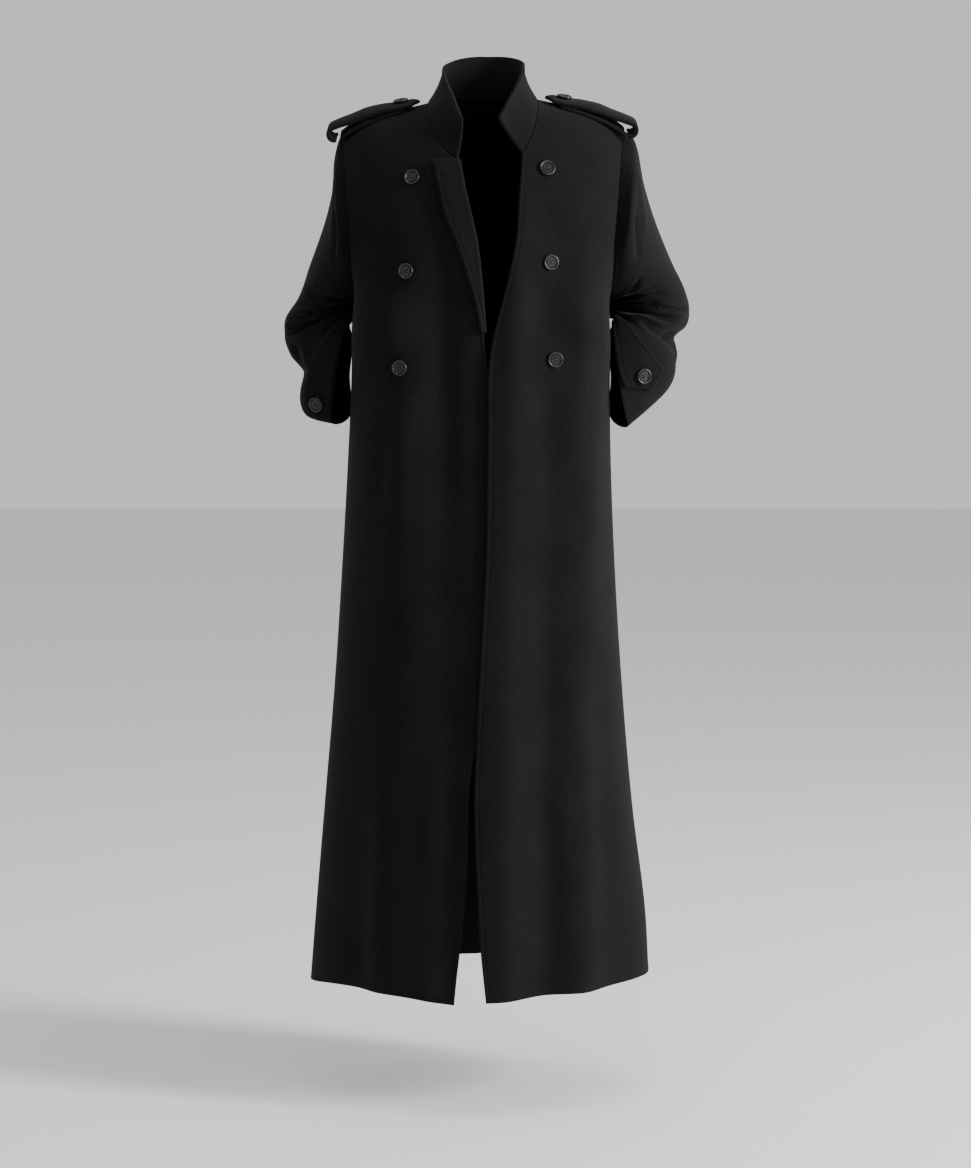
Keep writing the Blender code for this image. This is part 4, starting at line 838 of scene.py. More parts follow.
def run_lengths(grid, axis):
    step = np.linalg.norm(np.diff(grid, axis=axis), axis=-1)
    zero = np.zeros_like(np.take(step, [0], axis=axis))
    return np.cumsum(np.concatenate([zero, step], axis=axis), axis=axis)


def edge_distances(grid, edges):
    """Distance from the nearest stitched edge, and how far along it, for each point of a grid."""
    across = run_lengths(grid, 1)
    along = run_lengths(grid, 0)
    away = np.full(grid.shape[:2], 0.5)
    run = np.zeros(grid.shape[:2])
    for edge in edges:
        if edge == "start":
            distance, travel = across, along
        elif edge == "end":
            distance, travel = across[:, -1:] - across, along
        elif edge == "foot":
            distance, travel = along, across
        else:
            distance, travel = along[-1:] - along, across
        nearer = distance < away
        away = np.where(nearer, distance, away)
        run = np.where(nearer, travel, run)
    return away, run


def topstitch(grid, normals, edges, inset=STITCH_IN):
    """Sink a stitched line near the named edges and let the band outside it stand up."""
    away, run = edge_distances(grid, edges)
    groove = STITCH_DEPTH * np.exp(-((away - inset) / STITCH_WIDTH) ** 2)
    band = BAND_PUFF * np.sin(np.clip(away / inset, 0.0, 1.0) * math.pi)
    moved = grid + (band - groove)[..., None] * normals
    return moved, np.stack([away, run], axis=-1)


def sink_seams(grid, normals, edges):
    """Let the cloth turn down into its sewn seams."""
    away, _ = edge_distances(grid, edges)
    dip = SEAM_DIP * np.exp(-(away / SEAM_DIP_WIDTH) ** 2)
    return grid - dip[..., None] * normals


# Finer folds of the hanging cloth: across the panel, down it, and how they lean and fade, in metres
Wave = namedtuple("Wave", "x_top x_low top low width height")
FRONT_WAVES = {
    1: [Wave(*row) for row in (
        (0.05, 0.034, -0.04, -1.33, 0.02, 0.0052), (0.096, 0.094, -0.04, -1.33, 0.024, -0.01),
        (0.148, 0.156, -0.08, -1.33, 0.02, 0.0062), (0.16, 0.15, -0.2, -0.64, 0.012, -0.003),
        (0.066, 0.116, -0.34, -0.86, 0.017, 0.0022), (0.15, 0.205, -0.76, -1.34, 0.022, -0.0042),
        (0.1, 0.14, -0.9, -1.34, 0.018, 0.003),
    )],
    -1: [Wave(*row) for row in (
        (-0.056, -0.044, -0.11, -1.33, 0.022, -0.0062), (-0.14, -0.146, -0.15, -1.33, 0.025, 0.007),
        (-0.15, -0.148, -0.24, -0.9, 0.014, -0.0038), (-0.085, -0.15, -0.33, -0.78, 0.016, 0.0024),
        (-0.13, -0.19, -0.7, -1.34, 0.022, -0.0042), (-0.06, -0.085, -0.88, -1.34, 0.018, 0.003),
    )],
    0: [Wave(*row) for row in (
        (-0.165, -0.215, -0.32, -1.34, 0.022, -0.0045), (-0.085, -0.115, -0.15, -1.34, 0.02, 0.005),
        (-0.02, -0.01, -0.12, -1.34, 0.017, -0.004), (0.065, 0.085, -0.26, -1.34, 0.022, 0.0048),
        (0.14, 0.195, -0.38, -1.34, 0.022, -0.0044), (0.05, 0.01, -0.48, -0.9, 0.014, -0.0022),
    )],
}
# Creases across the crook and along the forearm: from one point to another, share along and degrees round
Pleat = namedtuple("Pleat", "along_a turn_a along_b turn_b width height")
SLEEVE_PLEATS = {
    1: [Pleat(*row) for row in (
        (0.735, 28, 0.742, 118, 0.005, -0.004), (0.76, 20, 0.768, 128, 0.0045, 0.003),
        (0.784, 24, 0.792, 134, 0.006, -0.0065), (0.806, 34, 0.812, 140, 0.0045, 0.003),
        (0.835, 10, 0.822, 110, 0.006, -0.005), (0.858, 52, 0.84, 130, 0.004, 0.0022),
        (0.865, 28, 0.9, 66, 0.0035, -0.003), (0.88, 12, 0.935, 24, 0.005, -0.0045),
        (0.872, 2, 0.93, 10, 0.0045, 0.0028), (0.66, 60, 0.69, 140, 0.007, -0.003),
        (0.56, 92, 0.69, 128, 0.008, -0.0022), (0.25, 70, 0.52, 96, 0.011, -0.0026),
        (0.2, 40, 0.48, 62, 0.012, 0.002), (0.74, 205, 0.75, 300, 0.006, 0.003),
        (0.78, 215, 0.8, 318, 0.007, -0.004), (0.83, 230, 0.85, 325, 0.006, -0.003),
        (0.6, 250, 0.7, 320, 0.009, -0.0026),
    )],
    -1: [Pleat(*row) for row in (
        (0.73, 30, 0.742, 122, 0.0055, -0.0045), (0.756, 18, 0.765, 126, 0.0045, 0.003),
        (0.782, 26, 0.794, 136, 0.006, -0.006), (0.812, 14, 0.815, 138, 0.005, 0.0032),
        (0.84, 8, 0.828, 118, 0.006, -0.0052), (0.862, 40, 0.905, 30, 0.0045, -0.0038),
        (0.87, 62, 0.925, 44, 0.004, 0.0028), (0.885, 18, 0.945, 12, 0.0045, -0.0036),
        (0.89, 78, 0.95, 60, 0.004, -0.003), (0.64, 56, 0.68, 142, 0.0075, -0.0034),
        (0.24, 66, 0.54, 98, 0.011, -0.0026), (0.19, 42, 0.47, 66, 0.012, 0.002),
        (0.745, 210, 0.752, 305, 0.006, 0.003), (0.785, 218, 0.806, 315, 0.007, -0.004),
        (0.61, 246, 0.705, 318, 0.009, -0.0026),
    )],
}
PLEAT_DEPTH = 1.25
PLEAT_DEGREE = 0.00125       # metres round the sleeve in one degree
PLEAT_SHARE = 0.62           # metres along the sleeve in its whole length


def wave_heights(points, waves):
    """Soft uneven folds that hang down a panel."""
    x, z = points[..., 0], points[..., 2]
    total = np.zeros(x.shape)
    for wave in waves:
        down = (wave.top - z) / (wave.top - wave.low)
        middle = wave.x_top + (wave.x_low - wave.x_top) * down + 0.004 * np.sin(down * 5.0 + wave.x_top * 40)
        grown = smoothstep(down / 0.28) * (1.0 if wave.low < HEM + 0.05 else smoothstep((1.0 - down) / 0.35))
        grown = grown * (0.72 + 0.28 * np.sin(down * 8.0 + wave.width * 300))
        total = total + wave.height * grown * np.exp(-((x - middle) / wave.width) ** 2)
    front = points[..., 1] < 0.0
    for button in FRONT_BUTTONS:
        away = np.hypot(x - button.x, z - button.height)
        total = total * np.where(front, smoothstep((away - BUTTON_RADIUS) / BUTTON_CALM), 1.0)
    return total


def sleeve_places(shape):
    """Share along the sleeve and degrees round it, for each point of its grid."""
    along = np.broadcast_to(refine(SLEEVE_ROWS, SLEEVE_FINER)[:, None], shape)
    turn = np.degrees(sleeve_angles(along[:, :1], np.arange(shape[1])[None, :])) % 360.0
    return along, np.broadcast_to(turn, shape)


def tuck_share(shape):
    """Share of the tuck that lays the crook's inner side behind the edge of the body."""
    along, turn = sleeve_places(shape)
    length = smoothstep((along - TUCK_START) / TUCK_GROWTH) * smoothstep((TUCK_END - along) / TUCK_FADE)
    return length * smoothstep(1.0 - np.abs(turn - TUCK_TURN) / TUCK_SPAN)


def spread_share(shape):
    """Share of the spread that opens the cuff's lower back edge towards the body."""
    along, turn = sleeve_places(shape)
    away = np.abs((turn - SPREAD_TURN + 180.0) % 360.0 - 180.0)
    return smoothstep((along - SPREAD_START) / SPREAD_GROWTH) * smoothstep(1.0 - away / SPREAD_SPAN)


def pleat_heights(side, shape):
    """Uneven creases on a sleeve, each along a slightly bent line."""
    along, turn = sleeve_places(shape)
    total = np.zeros(shape)
    for k, pleat in enumerate(SLEEVE_PLEATS[side]):
        a = np.array([pleat.along_a * PLEAT_SHARE, pleat.turn_a * PLEAT_DEGREE])
        b = np.array([pleat.along_b * PLEAT_SHARE, pleat.turn_b * PLEAT_DEGREE])
        line = b - a
        length = np.hypot(*line)
        u = (along * PLEAT_SHARE - a[0]) * line[0] + (turn * PLEAT_DEGREE - a[1]) * line[1]
        u = u / length ** 2
        off = ((along * PLEAT_SHARE - a[0]) * line[1] - (turn * PLEAT_DEGREE - a[1]) * line[0]) / length
        off = off - 0.0035 * math.sin(k * 1.7) * np.sin(np.clip(u, 0, 1) * math.pi)
        ends = smoothstep(u / 0.30) * smoothstep((1.0 - u) / 0.30)
        total = total + PLEAT_DEPTH * pleat.height * ends * np.exp(-(off / pleat.width) ** 2)
    return total


# Materials


def new_material(name, inputs):
    """A material whose shader holds the given constants."""
    material = bpy.data.materials.new(name)
    material.use_nodes = True
    shader = material.node_tree.nodes["Principled BSDF"]
    for key, value in inputs.items():
        shader.inputs[key].default_value = value
    return material, material.node_tree, shader


def node(tree, kind, inputs=None, **values):
    """Add a node: an input that is a socket is linked, another is set."""
    made = tree.nodes.new("ShaderNode" + kind)
    for key, value in values.items():
        setattr(made, key, value)
    for key, value in (inputs or {}).items():
        if isinstance(value, bpy.types.NodeSocket):
            tree.links.new(value, made.inputs[key])
        else:
            made.inputs[key].default_value = value
    return made


def noise(tree, place, **inputs):
    return node(tree, "TexNoise", {"Vector": place, **inputs}).outputs["Fac"]


def calc(tree, operation, *values):
    return node(tree, "Math", dict(enumerate(values)), operation=operation).outputs[0]


def ramp(tree, factor, *stops):
    made = node(tree, "ValToRGB", {"Fac": factor})
    for element, (position, colour) in zip(made.color_ramp.elements, stops):
        element.position = position
        element.color = (*colour, 1.0)
    return made.outputs["Color"]


def melton_material():
    """Heavy black wool, milled and napped: a felted surface with short fibres and stitched edges."""
    material, tree, shader = new_material("black_melton", {
        "Roughness": 0.92, "Sheen Weight": 0.05, "Sheen Roughness": 0.45,
        "Sheen Tint": (0.75, 0.76, 0.80, 1.0), "Specular IOR Level": 0.035})
    place = node(tree, "TexCoord").outputs["Object"]
    cloud = noise(tree, place, Scale=14.0, Detail=3.0)
    felt = noise(tree, place, Scale=520.0, Detail=4.0, Roughness=0.65)
    nap = noise(tree, place, Scale=160.0, Detail=3.0, Distortion=0.8)
    tone = ramp(tree, cloud, (0.30, (0.0062, 0.0062, 0.0066)), (0.72, (0.0080, 0.0080, 0.0084)))
    fibre = ramp(tree, felt, (0.40, (0.75, 0.75, 0.75)), (0.70, (1.35, 1.35, 1.38)))
    tinted = node(tree, "Mix", {"Factor": 1.0, 6: tone, 7: fibre}, data_type="RGBA", blend_type="MULTIPLY")
    tree.links.new(tinted.outputs[2], shader.inputs["Base Color"])
    both = calc(tree, "ADD", calc(tree, "MULTIPLY", nap, NAP_SHARE), felt)
    run = node(tree, "SeparateXYZ", {"Vector": node(tree, "UVMap", uv_map="edge").outputs["UV"]})
    off = calc(tree, "ABSOLUTE", calc(tree, "SUBTRACT", run.outputs["X"], STITCH_IN))
    line = node(tree, "MapRange", {"Value": off, "From Min": 0.0, "From Max": STITCH_LINE,
                                   "To Min": 1.0, "To Max": 0.0},
                interpolation_type="SMOOTHSTEP").outputs[0]
    dash = calc(tree, "SINE", calc(tree, "MULTIPLY", run.outputs["Y"], 2 * math.pi / STITCH_LENGTH))
    high = calc(tree, "MULTIPLY_ADD", calc(tree, "MULTIPLY", dash, line), STITCH_RELIEF, both)
    bump = node(tree, "Bump", {"Strength": 0.55, "Distance": 0.0009, "Height": high})
    tree.links.new(bump.outputs["Normal"], shader.inputs["Normal"])
    return material


def horn_material():
    """Black horn: dark, softly streaked, polished."""
    material, tree, shader = new_material("black_horn", {
        "Roughness": 0.27, "Specular IOR Level": 0.34, "Coat Weight": 0.10, "Coat Roughness": 0.18})
    place = node(tree, "TexCoord").outputs["Object"]
    streak = noise(tree, place, Scale=90.0, Detail=3.0, Distortion=1.5)
    tone = ramp(tree, streak, (0.35, (0.006, 0.0055, 0.005)), (0.75, (0.020, 0.018, 0.016)))
    tree.links.new(tone, shader.inputs["Base Color"])
    return material


def thread_material():
    return new_material("thread", {"Base Color": (0.012, 0.012, 0.012, 1.0), "Roughness": 0.8})[0]


# Pieces of the coat


def dress(item, nodes):
    """Hand a piece to the frame, and hide the solids it replaces."""
    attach(item, "root")
    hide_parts(*nodes)
    return item


def build_body(cloth):
    """Fronts, back, sleeves and collar, which share their points and normals at the seams."""
    left = front_grid(1, LEFT_EDGE, LEFT_NECKLINE)
    right = front_grid(-1, RIGHT_EDGE, RIGHT_NECKLINE)
    back = back_grid()
    plain = back.copy()
    for front, column_index in ((left, -1), (right, 0)):
        back[:LOWER_ROWS + 1, column_index] = front[:LOWER_ROWS + 1, -1]
        back[-1, column_index] = front[-1, -1]
    neck_end = back.shape[1] // 2 + BACK_NECK_CELLS
    back[-1, neck_end] = left[-1, 0]
    back[-1, -1 - neck_end] = right[-1, 0]
    hem_fade = smoothstep(1.0 - np.arange(SIDE_BLEND + 1) / SIDE_BLEND)[None, :, None]
    for front, start, step in ((left, -1, -1), (right, 0, 1)):
        jump = (front[:LOWER_ROWS + 1, -1] - plain[:LOWER_ROWS + 1, start])[:, None]
        for k in range(1, SIDE_BLEND):
            back[:LOWER_ROWS + 1, start + step * k] += (jump * hem_fade[:, k:k + 1])[:, 0]
    for panel, key in ((left, 1), (right, -1), (back, 0)):
        turned = body_normals(panel, 1 if key == 0 else -1)
        away, _ = edge_distances(panel, ("end", "head") if key else ("start", "end", "head"))
        panel += (wave_heights(panel, FRONT_WAVES[key]) * smoothstep(away / SEAM_CALM))[..., None] * turned
    left_normal = body_normals(left, -1)
    right_normal = body_normals(right, -1)
    back_normal = body_normals(back, 1)
    sleeves = {}
    for side, rings, creases, front, column_index in (
            (1, LEFT_RINGS, LEFT_CREASES, left, -1), (-1, RIGHT_RINGS, RIGHT_CREASES, right, 0)):
        ring = armhole_ring(front, back[:, column_index])
        points, normals = sleeve_grid(side, rings, creases, ring)
        tuck = tuck_share(points.shape[:2])
        points[..., 0] -= side * (CROOK_TUCK * tuck + CUFF_SPREAD * spread_share(points.shape[:2]))
        points[..., 1] += CROOK_BACK * tuck
        points = points + pleat_heights(side, points.shape[:2])[..., None] * normals
        wrapped = np.concatenate([points[:, -1:], points, points[:, :1]], axis=1)
        fresh = normals_of(wrapped)[:, 1:-1]
        fresh = np.where((fresh * normals).sum(axis=-1, keepdims=True) < 0.0, -fresh, fresh)
        fade = smoothstep(np.arange(points.shape[0]) / 8.0)[:, None, None]
        sleeves[side] = points, unit(normals * (1.0 - fade) + fresh * fade)
    share_side(left_normal, back_normal, -1)
    share_side(right_normal, back_normal, 0)
    share_shoulder(left, left_normal, back, back_normal, 1)
    share_shoulder(right, right_normal, back, back_normal, -1)
    share_armhole(left_normal, back_normal, -1, sleeves[1][1])
    share_armhole(right_normal, back_normal, 0, sleeves[-1][1])
    build_collar(left, left_normal, right, right_normal, back, back_normal, cloth)
    corner = left.shape[0] - 1 - len(NECKLINE_SHARES) * FINER
    for name, panel, normals in (("front_left", left, left_normal), ("front_right", right, right_normal)):
        grid = sink_seams(draw_in(panel, ("end", "head")), normals, ("end", "head"))
        stitched, run = topstitch(grid, normals, ("start",))
        weight = smoothstep((corner + 2 - np.arange(panel.shape[0])) / 4.0)[:, None, None]
        grid = grid + (stitched - grid) * weight
        run = np.where(weight > 0.5, run, 0.5)
        item = cloth_piece(name + "_cloth", grid, normals, CLOTH, cloth, ("foot", "start"), run)
        dress(item, [name])
    grid = sink_seams(draw_in(back, ("start", "end", "head")), back_normal, ("start", "end"))
    item = cloth_piece("back_cloth", grid, back_normal, CLOTH, cloth, ("foot",))
    dress(item, ["back"])
    for side, name in ((1, "left"), (-1, "right")):
        build_sleeve(name, *sleeves[side], cloth)
    return sleeves


def build_sleeve(name, points, normal, cloth):
    """Top sleeve and under sleeve, cut at the two long seams."""
    top = [k % SLEEVE_COLUMNS for k in range(HIND_SEAM, FORE_SEAM + 1)]
    under = [k % SLEEVE_COLUMNS for k in range(FORE_SEAM, SLEEVE_COLUMNS + HIND_SEAM + 1)]
    for piece, columns in (("top_sleeve", top), ("under_sleeve", under)):
        outer = draw_in(points[:, columns], ("foot", "start", "end"))
        outer = sink_seams(outer, normal[:, columns], ("foot", "start", "end"))
        item = cloth_piece(piece + "_" + name + "_cloth", outer, normal[:, columns], CLOTH, cloth, ("head",))
        dress(item, [piece + "_" + name])


def build_collar(left, left_normal, right, right_normal, back, back_normal, cloth):
    """Standing collar, two layers of cloth, open at the front, sewn to the neck seam's points."""
    shares = len(NECKLINE_SHARES) * FINER
    corner = left.shape[0] - 1 - shares
    middle = back.shape[1] // 2
    neck = slice(middle - BACK_NECK_CELLS + 1, middle + BACK_NECK_CELLS)
    bottom = np.concatenate([right[corner:, 0], back[-1, neck], left[corner:, 0][::-1]])
    length = np.concatenate([[0.0], np.cumsum(np.linalg.norm(np.diff(bottom, axis=0), axis=1))])
    top = settle(through(COLLAR_TOP, length / length[-1]))
    rise = np.concatenate([np.linspace(0.0, 0.86, 20), [0.90, 0.93, 0.955, 0.975, 0.99, 1.0]])[:, None, None]
    outward = bottom * np.array([1.0, 1.0, 0.0]) + np.array([0.0, COLLAR_CENTRE, 0.0])
    outward = unit(outward)[None]
    grid = bottom[None] + (top - bottom)[None] * rise
    grid = grid - COLLAR_BOW * 4 * (rise * (1 - rise)) * outward
    normal = normals_of(grid)
    if (normal * outward).sum() < 0.0:
        normal = -normal
    panel = np.concatenate([right_normal[corner:, 0], back_normal[-1, neck], left_normal[corner:, 0][::-1]])
    seam = unit(panel + normal[0])
    normal[0] = seam
    right_normal[corner:, 0] = seam[:shares + 1]
    back_normal[-1, neck] = seam[shares + 1:-shares - 1]
    left_normal[corner:, 0] = seam[-shares - 1:][::-1]
    back_normal[-1, neck.start - 1] = seam[shares]
    back_normal[-1, neck.stop] = seam[-shares - 1]
    grid = sink_seams(draw_in(grid, ("foot",), COLLAR_SEAM), normal, ("foot",))
    grid, run = topstitch(grid, normal, ("start", "end", "head"))
    item = cloth_piece("collar_cloth", grid, normal, DOUBLED, cloth, ("head", "start", "end"), run)
    dress(item, ["collar"])


def build_lapel(cloth):
    """The right front's top, turned out over itself along the roll line."""
    table = [(point.height, point.width) for point in LAPEL]
    table.append((LAPEL_TIP, LAPEL_TIP_WIDTH))
    heights = np.linspace(LAPEL[0].height, LAPEL_TIP, 71)
    width = column(table, heights)
    edge_x = column(RIGHT_EDGE, heights)
    point_of = front_of(-1)
    shares = np.concatenate([np.linspace(0.0, 0.80, 18), [0.84, 0.88, 0.91, 0.94, 0.97, 1.0]])
    outer_rows = []
    inner_rows = []
    for z, w, x0 in zip(heights, width, edge_x):
        x = x0 - w * shares
        z_line = np.full_like(x, z)
        base = point_of(x, z_line)
        normal = surface_normal(point_of, x, z_line)
        least = LAPEL_LIFT_LEAST + (1.0 - LAPEL_LIFT_LEAST) * w / LAPEL[0].width
        lift = LAPEL_CLEARANCE + LAPEL_LIFT * smoothstep(shares / 0.9) * least
        under = base + normal * lift[:, None]
        over = under + normal * DOUBLED
        sideways = unit(base[0] - base[1])
        deep = base[0] - normal[0] * CLOTH
        turns = np.radians(np.linspace(-80.0, 90.0, 12))[:-1]
        centre = (deep + over[0]) / 2
        tall = np.linalg.norm(over[0] - deep) / 2
        roll = [centre + math.sin(t) * tall * normal[0] + math.cos(t) * LAPEL_ROLL * sideways for t in turns]
        short = tall - 0.0028
        seat = [centre + sideways * SEAM * 2 + math.sin(t) * short * normal[0]
                + math.cos(t) * (LAPEL_ROLL - 0.0030) * 0.6 * sideways for t in turns]
        outer_rows.append(np.concatenate([roll, over]))
        inner_rows.append(np.concatenate([seat, under]))
    outer = np.array(outer_rows)
    inner = np.array(inner_rows)
    normal = unit(outer - inner)
    outer, run = topstitch(outer, normal, ("foot", "end"))
    item = shell("lapel_right_cloth", outer, inner, cloth, run)
    dress(item, ["lapel_right"])


def build_shoulder_strap(name, side, cloth):
    """Strap on the shoulder: an under run, and an upper run that curls round its outer end."""
    edge = np.array([0.33, 0.36, 0.39, 0.43, 0.47, 0.5])
    widths = np.concatenate([-edge[::-1], np.linspace(-0.28, 0.28, 9), edge])[None, :]
    stations = np.linspace(STRAP_UNDER_INNER, STRAP_UNDER_OUTER, 60)[:, None]
    low = settle(strap_cross(stations, STRAP_UNDER_LIFT, side, widths * STRAP_UNDER_SHARE))
    up = np.broadcast_to(np.array([0.0, 0.0, 1.0]), low.shape)
    low_top, run = topstitch(low + up * STRAP_UNDER_THICKNESS, up, ("start", "end"))
    item = shell("strap_under_" + name + "_cloth", low_top, low, cloth, run)
    dress(item, ["strap_under_" + name])

    table = [(point.x, point.lift) for point in STRAP_TOP]
    inner = STRAP_TOP[0].x
    outer = STRAP_TOP[-1].x
    near = np.array([0.0, 0.0014, 0.0028, 0.0042, 0.0054, 0.0066, 0.0080])
    along = np.concatenate([inner + near, np.linspace(inner + 0.010, outer, 52)])[:, None]
    lift = column(table, along)
    top = strap_cross(along, lift, side, widths)
    point = STRAP_END_POINT * (1.0 - np.abs(widths[0]) * 2)
    fade = np.clip(1.0 - (along - inner) / 0.020, 0.0, 1.0)
    top[..., 0] -= side * fade * (point - STRAP_END_POINT * 0.2)[None, :]
    ends = top[-1]
    direction = unit(top[-1] - top[-2])
    turn = np.linspace(0.0, STRAP_CURL_TURN, 40)[1:]
    sideways = np.array([direction[:, 2], np.zeros(direction.shape[0]), -direction[:, 0]]).T * side
    sideways = np.where(sideways[:, 2:3] > 0, -sideways, sideways)
    curl = [ends + STRAP_CURL_RADIUS * (math.sin(t) * direction + (1 - math.cos(t)) * sideways) for t in turn]
    upper = np.concatenate([top, np.array(curl)])
    normal = normals_of(upper)
    if normal[0, 10, 2] < 0:
        normal = -normal
    upper = settle(upper)
    over, run = topstitch(upper, normal, ("start", "end", "foot"))
    item = shell("strap_over_" + name + "_cloth", over, upper - DOUBLED * normal, cloth, run)
    dress(item, ["strap_over_" + name])


def build_cuff_strap(name, sleeve, stations, cloth):
    """Buttoned strap round the cuff, made from the sleeve's points, its end pointed."""
    points, normals = sleeve
    table = [(k,) + tuple(station) for k, station in enumerate(stations)]
    steps = np.concatenate([np.linspace(0, 0.93, 60), np.linspace(0.94, 1.0, 8)]) * (len(stations) - 1)
    read = through(table, steps)
    share = np.concatenate([[0.0, 0.025, 0.05, 0.075, 0.10, 0.125, 0.16], np.linspace(0.22, 0.78, 11),
                            [0.84, 0.875, 0.90, 0.925, 0.95, 0.975, 1.0]])[None, :]
    rows = (read[:, 0:1] * (1 - share) + read[:, 2:3] * share) * SLEEVE_FINER
    columns = (read[:, 1:2] * (1 - share) + read[:, 3:4] * share) * SLEEVE_ACROSS
    base = on_panel(points, rows, columns)
    normal = unit(on_panel(normals, rows, columns))
    ahead = unit((base[-1] - base[-4]).mean(axis=0))
    reach = CUFF_STRAP_POINT * (1.0 - np.abs(share[0] * 2 - 1))
    grow = np.linspace(0.0, 1.0, 17)[1:, None, None]
    tips = base[-1][None] + grow * (ahead * reach[:, None])[None]
    base = np.concatenate([base, tips])
    normal = np.concatenate([normal, np.broadcast_to(normal[-1:], tips.shape)])
    under = base + normal * CUFF_CLEARANCE
    over = under + normal * CUFF_STRAP_THICKNESS
    over, run = topstitch(over, normal, ("start", "end", "head"))
    item = shell("cuff_strap_" + name + "_cloth", over, under, cloth, run)
    dress(item, ["cuff_strap_" + name])


# Button: turned ring round a thinner plate with four holes, sewn on with a crossed thread
RING_PROFILE = (
    (0.0080, 0.0016), (0.0084, 0.0023), (0.0091, 0.0031), (0.0099, 0.0036), (0.0107, 0.0036), (0.0113, 0.0031),
    (0.0115, 0.0023), (0.0113, 0.0012), (0.0106, 0.0004), (0.0094, 0.0000), (0.0080, 0.0000),
)
RING_SIDES = 64
PLATE_RADIUS = 0.0073
BASE_RADIUS = 0.0086
BASE_FOOT = 0.0004
BASE_TOP = 0.0009
BUTTON_GAP = 0.0004           # a button's back above its seat
TUBE_SIDES = 8
BUTTON_SPINS = (12, -20, 31, 5, -38, 22, -9, 40, 17, -27)  # degrees, as sewn
PLATE_MIDDLE = 0.0012
PLATE_HALF = 0.0007
HOLE_RADIUS = 0.00125
HOLE_PLACE = 0.0026
THREAD_RADIUS = 0.00042
THREAD_RISE = 0.0009


def circle(spline_owner, radius, x, y):
    spline = spline_owner.splines.new("POLY")
    count = 40 if radius > 0.004 else 16
    spline.points.add(count - 1)
    for k in range(count):
        angle = 2 * math.pi * k / count
        spline.points[k].co = (x + radius * math.cos(angle), y + radius * math.sin(angle), 0.0, 1.0)
    spline.use_cyclic_u = True


def button_mesh(horn, thread):
    """One button about its own middle, its back on z = 0."""
    flat = bpy.data.curves.new("plate", "CURVE")
    flat.dimensions = "2D"
    flat.fill_mode = "BOTH"
    flat.extrude = PLATE_HALF - 0.00015
    flat.bevel_depth = 0.00015
    flat.bevel_resolution = 2
    circle(flat, PLATE_RADIUS, 0.0, 0.0)
    holes = [(sx * HOLE_PLACE / math.sqrt(2) * 1.1, sy * HOLE_PLACE / math.sqrt(2) * 1.1)
             for sx in (-1, 1) for sy in (-1, 1)]
    for x, y in holes:
        circle(flat, HOLE_RADIUS, x, y)
    holder = add_object("plate", flat)
    bpy.context.view_layer.update()
    plate = bpy.data.meshes.new_from_object(holder.evaluated_get(bpy.context.evaluated_depsgraph_get()))
    work = bmesh.new()
    work.from_mesh(plate)
    for vertex in work.verts:
        vertex.co.z += PLATE_MIDDLE + PLATE_HALF * 0.4
    for face in work.faces:
        face.material_index = 0
    bpy.data.objects.remove(holder)
    bpy.data.curves.remove(flat)
    bpy.data.meshes.remove(plate)
    turn = [2 * math.pi * k / RING_SIDES for k in range(RING_SIDES)]
    loops = []
    for radius, height in RING_PROFILE:
        loops.append([work.verts.new((radius * math.cos(a), radius * math.sin(a), height)) for a in turn])
    join_rings(work, loops + loops[:1])
    for height in (BASE_FOOT, BASE_TOP):
        work.faces.new([work.verts.new((BASE_RADIUS * math.cos(a), BASE_RADIUS * math.sin(a), height))
                        for a in turn])
    top = PLATE_MIDDLE + PLATE_HALF * 1.4
    for start, end in ((holes[0], holes[3]), (holes[1], holes[2])):
        for shift in (-0.00040, 0.00040):
            path = []
            across = unit(np.array([end[1] - start[1], start[0] - end[0], 0.0]))
            for k in range(9):
                share = k / 8
                rise = top - 0.0009 + THREAD_RISE * 1.9 * math.sin(share * math.pi) ** 0.55
                x = start[0] + (end[0] - start[0]) * share
                y = start[1] + (end[1] - start[1]) * share
                path.append(np.array([x, y, rise]) + across * shift)
            add_tube(work, np.array(path), THREAD_RADIUS, across)
    bmesh.ops.recalc_face_normals(work, faces=work.faces)
    mesh = bpy.data.meshes.new("button")
    work.to_mesh(mesh)
    work.free()
    mesh.shade_smooth()
    mesh.materials.append(horn)
    mesh.materials.append(thread)
    return mesh


def join_rings(work, rings, material_index=0):
    """Join each ring of vertices to the next."""
    for first, second in zip(rings, rings[1:]):
        for k in range(len(first)):
            m = (k + 1) % len(first)
            work.faces.new((first[k], first[m], second[m], second[k])).material_index = material_index


def tube_ring(work, place, radius, side, up):
    return [work.verts.new(place + radius * (math.cos(t) * side + math.sin(t) * up))
            for t in (2 * math.pi * k / TUBE_SIDES for k in range(TUBE_SIDES))]


def add_tube(work, path, radius, across):
    ways = unit(np.gradient(path, axis=0))
    rings = [tube_ring(work, place, radius, across, np.cross(way, across)) for place, way in zip(path, ways)]
    join_rings(work, rings, 1)
    for ring in (rings[0], rings[-1]):
        work.faces.new(ring).material_index = 1


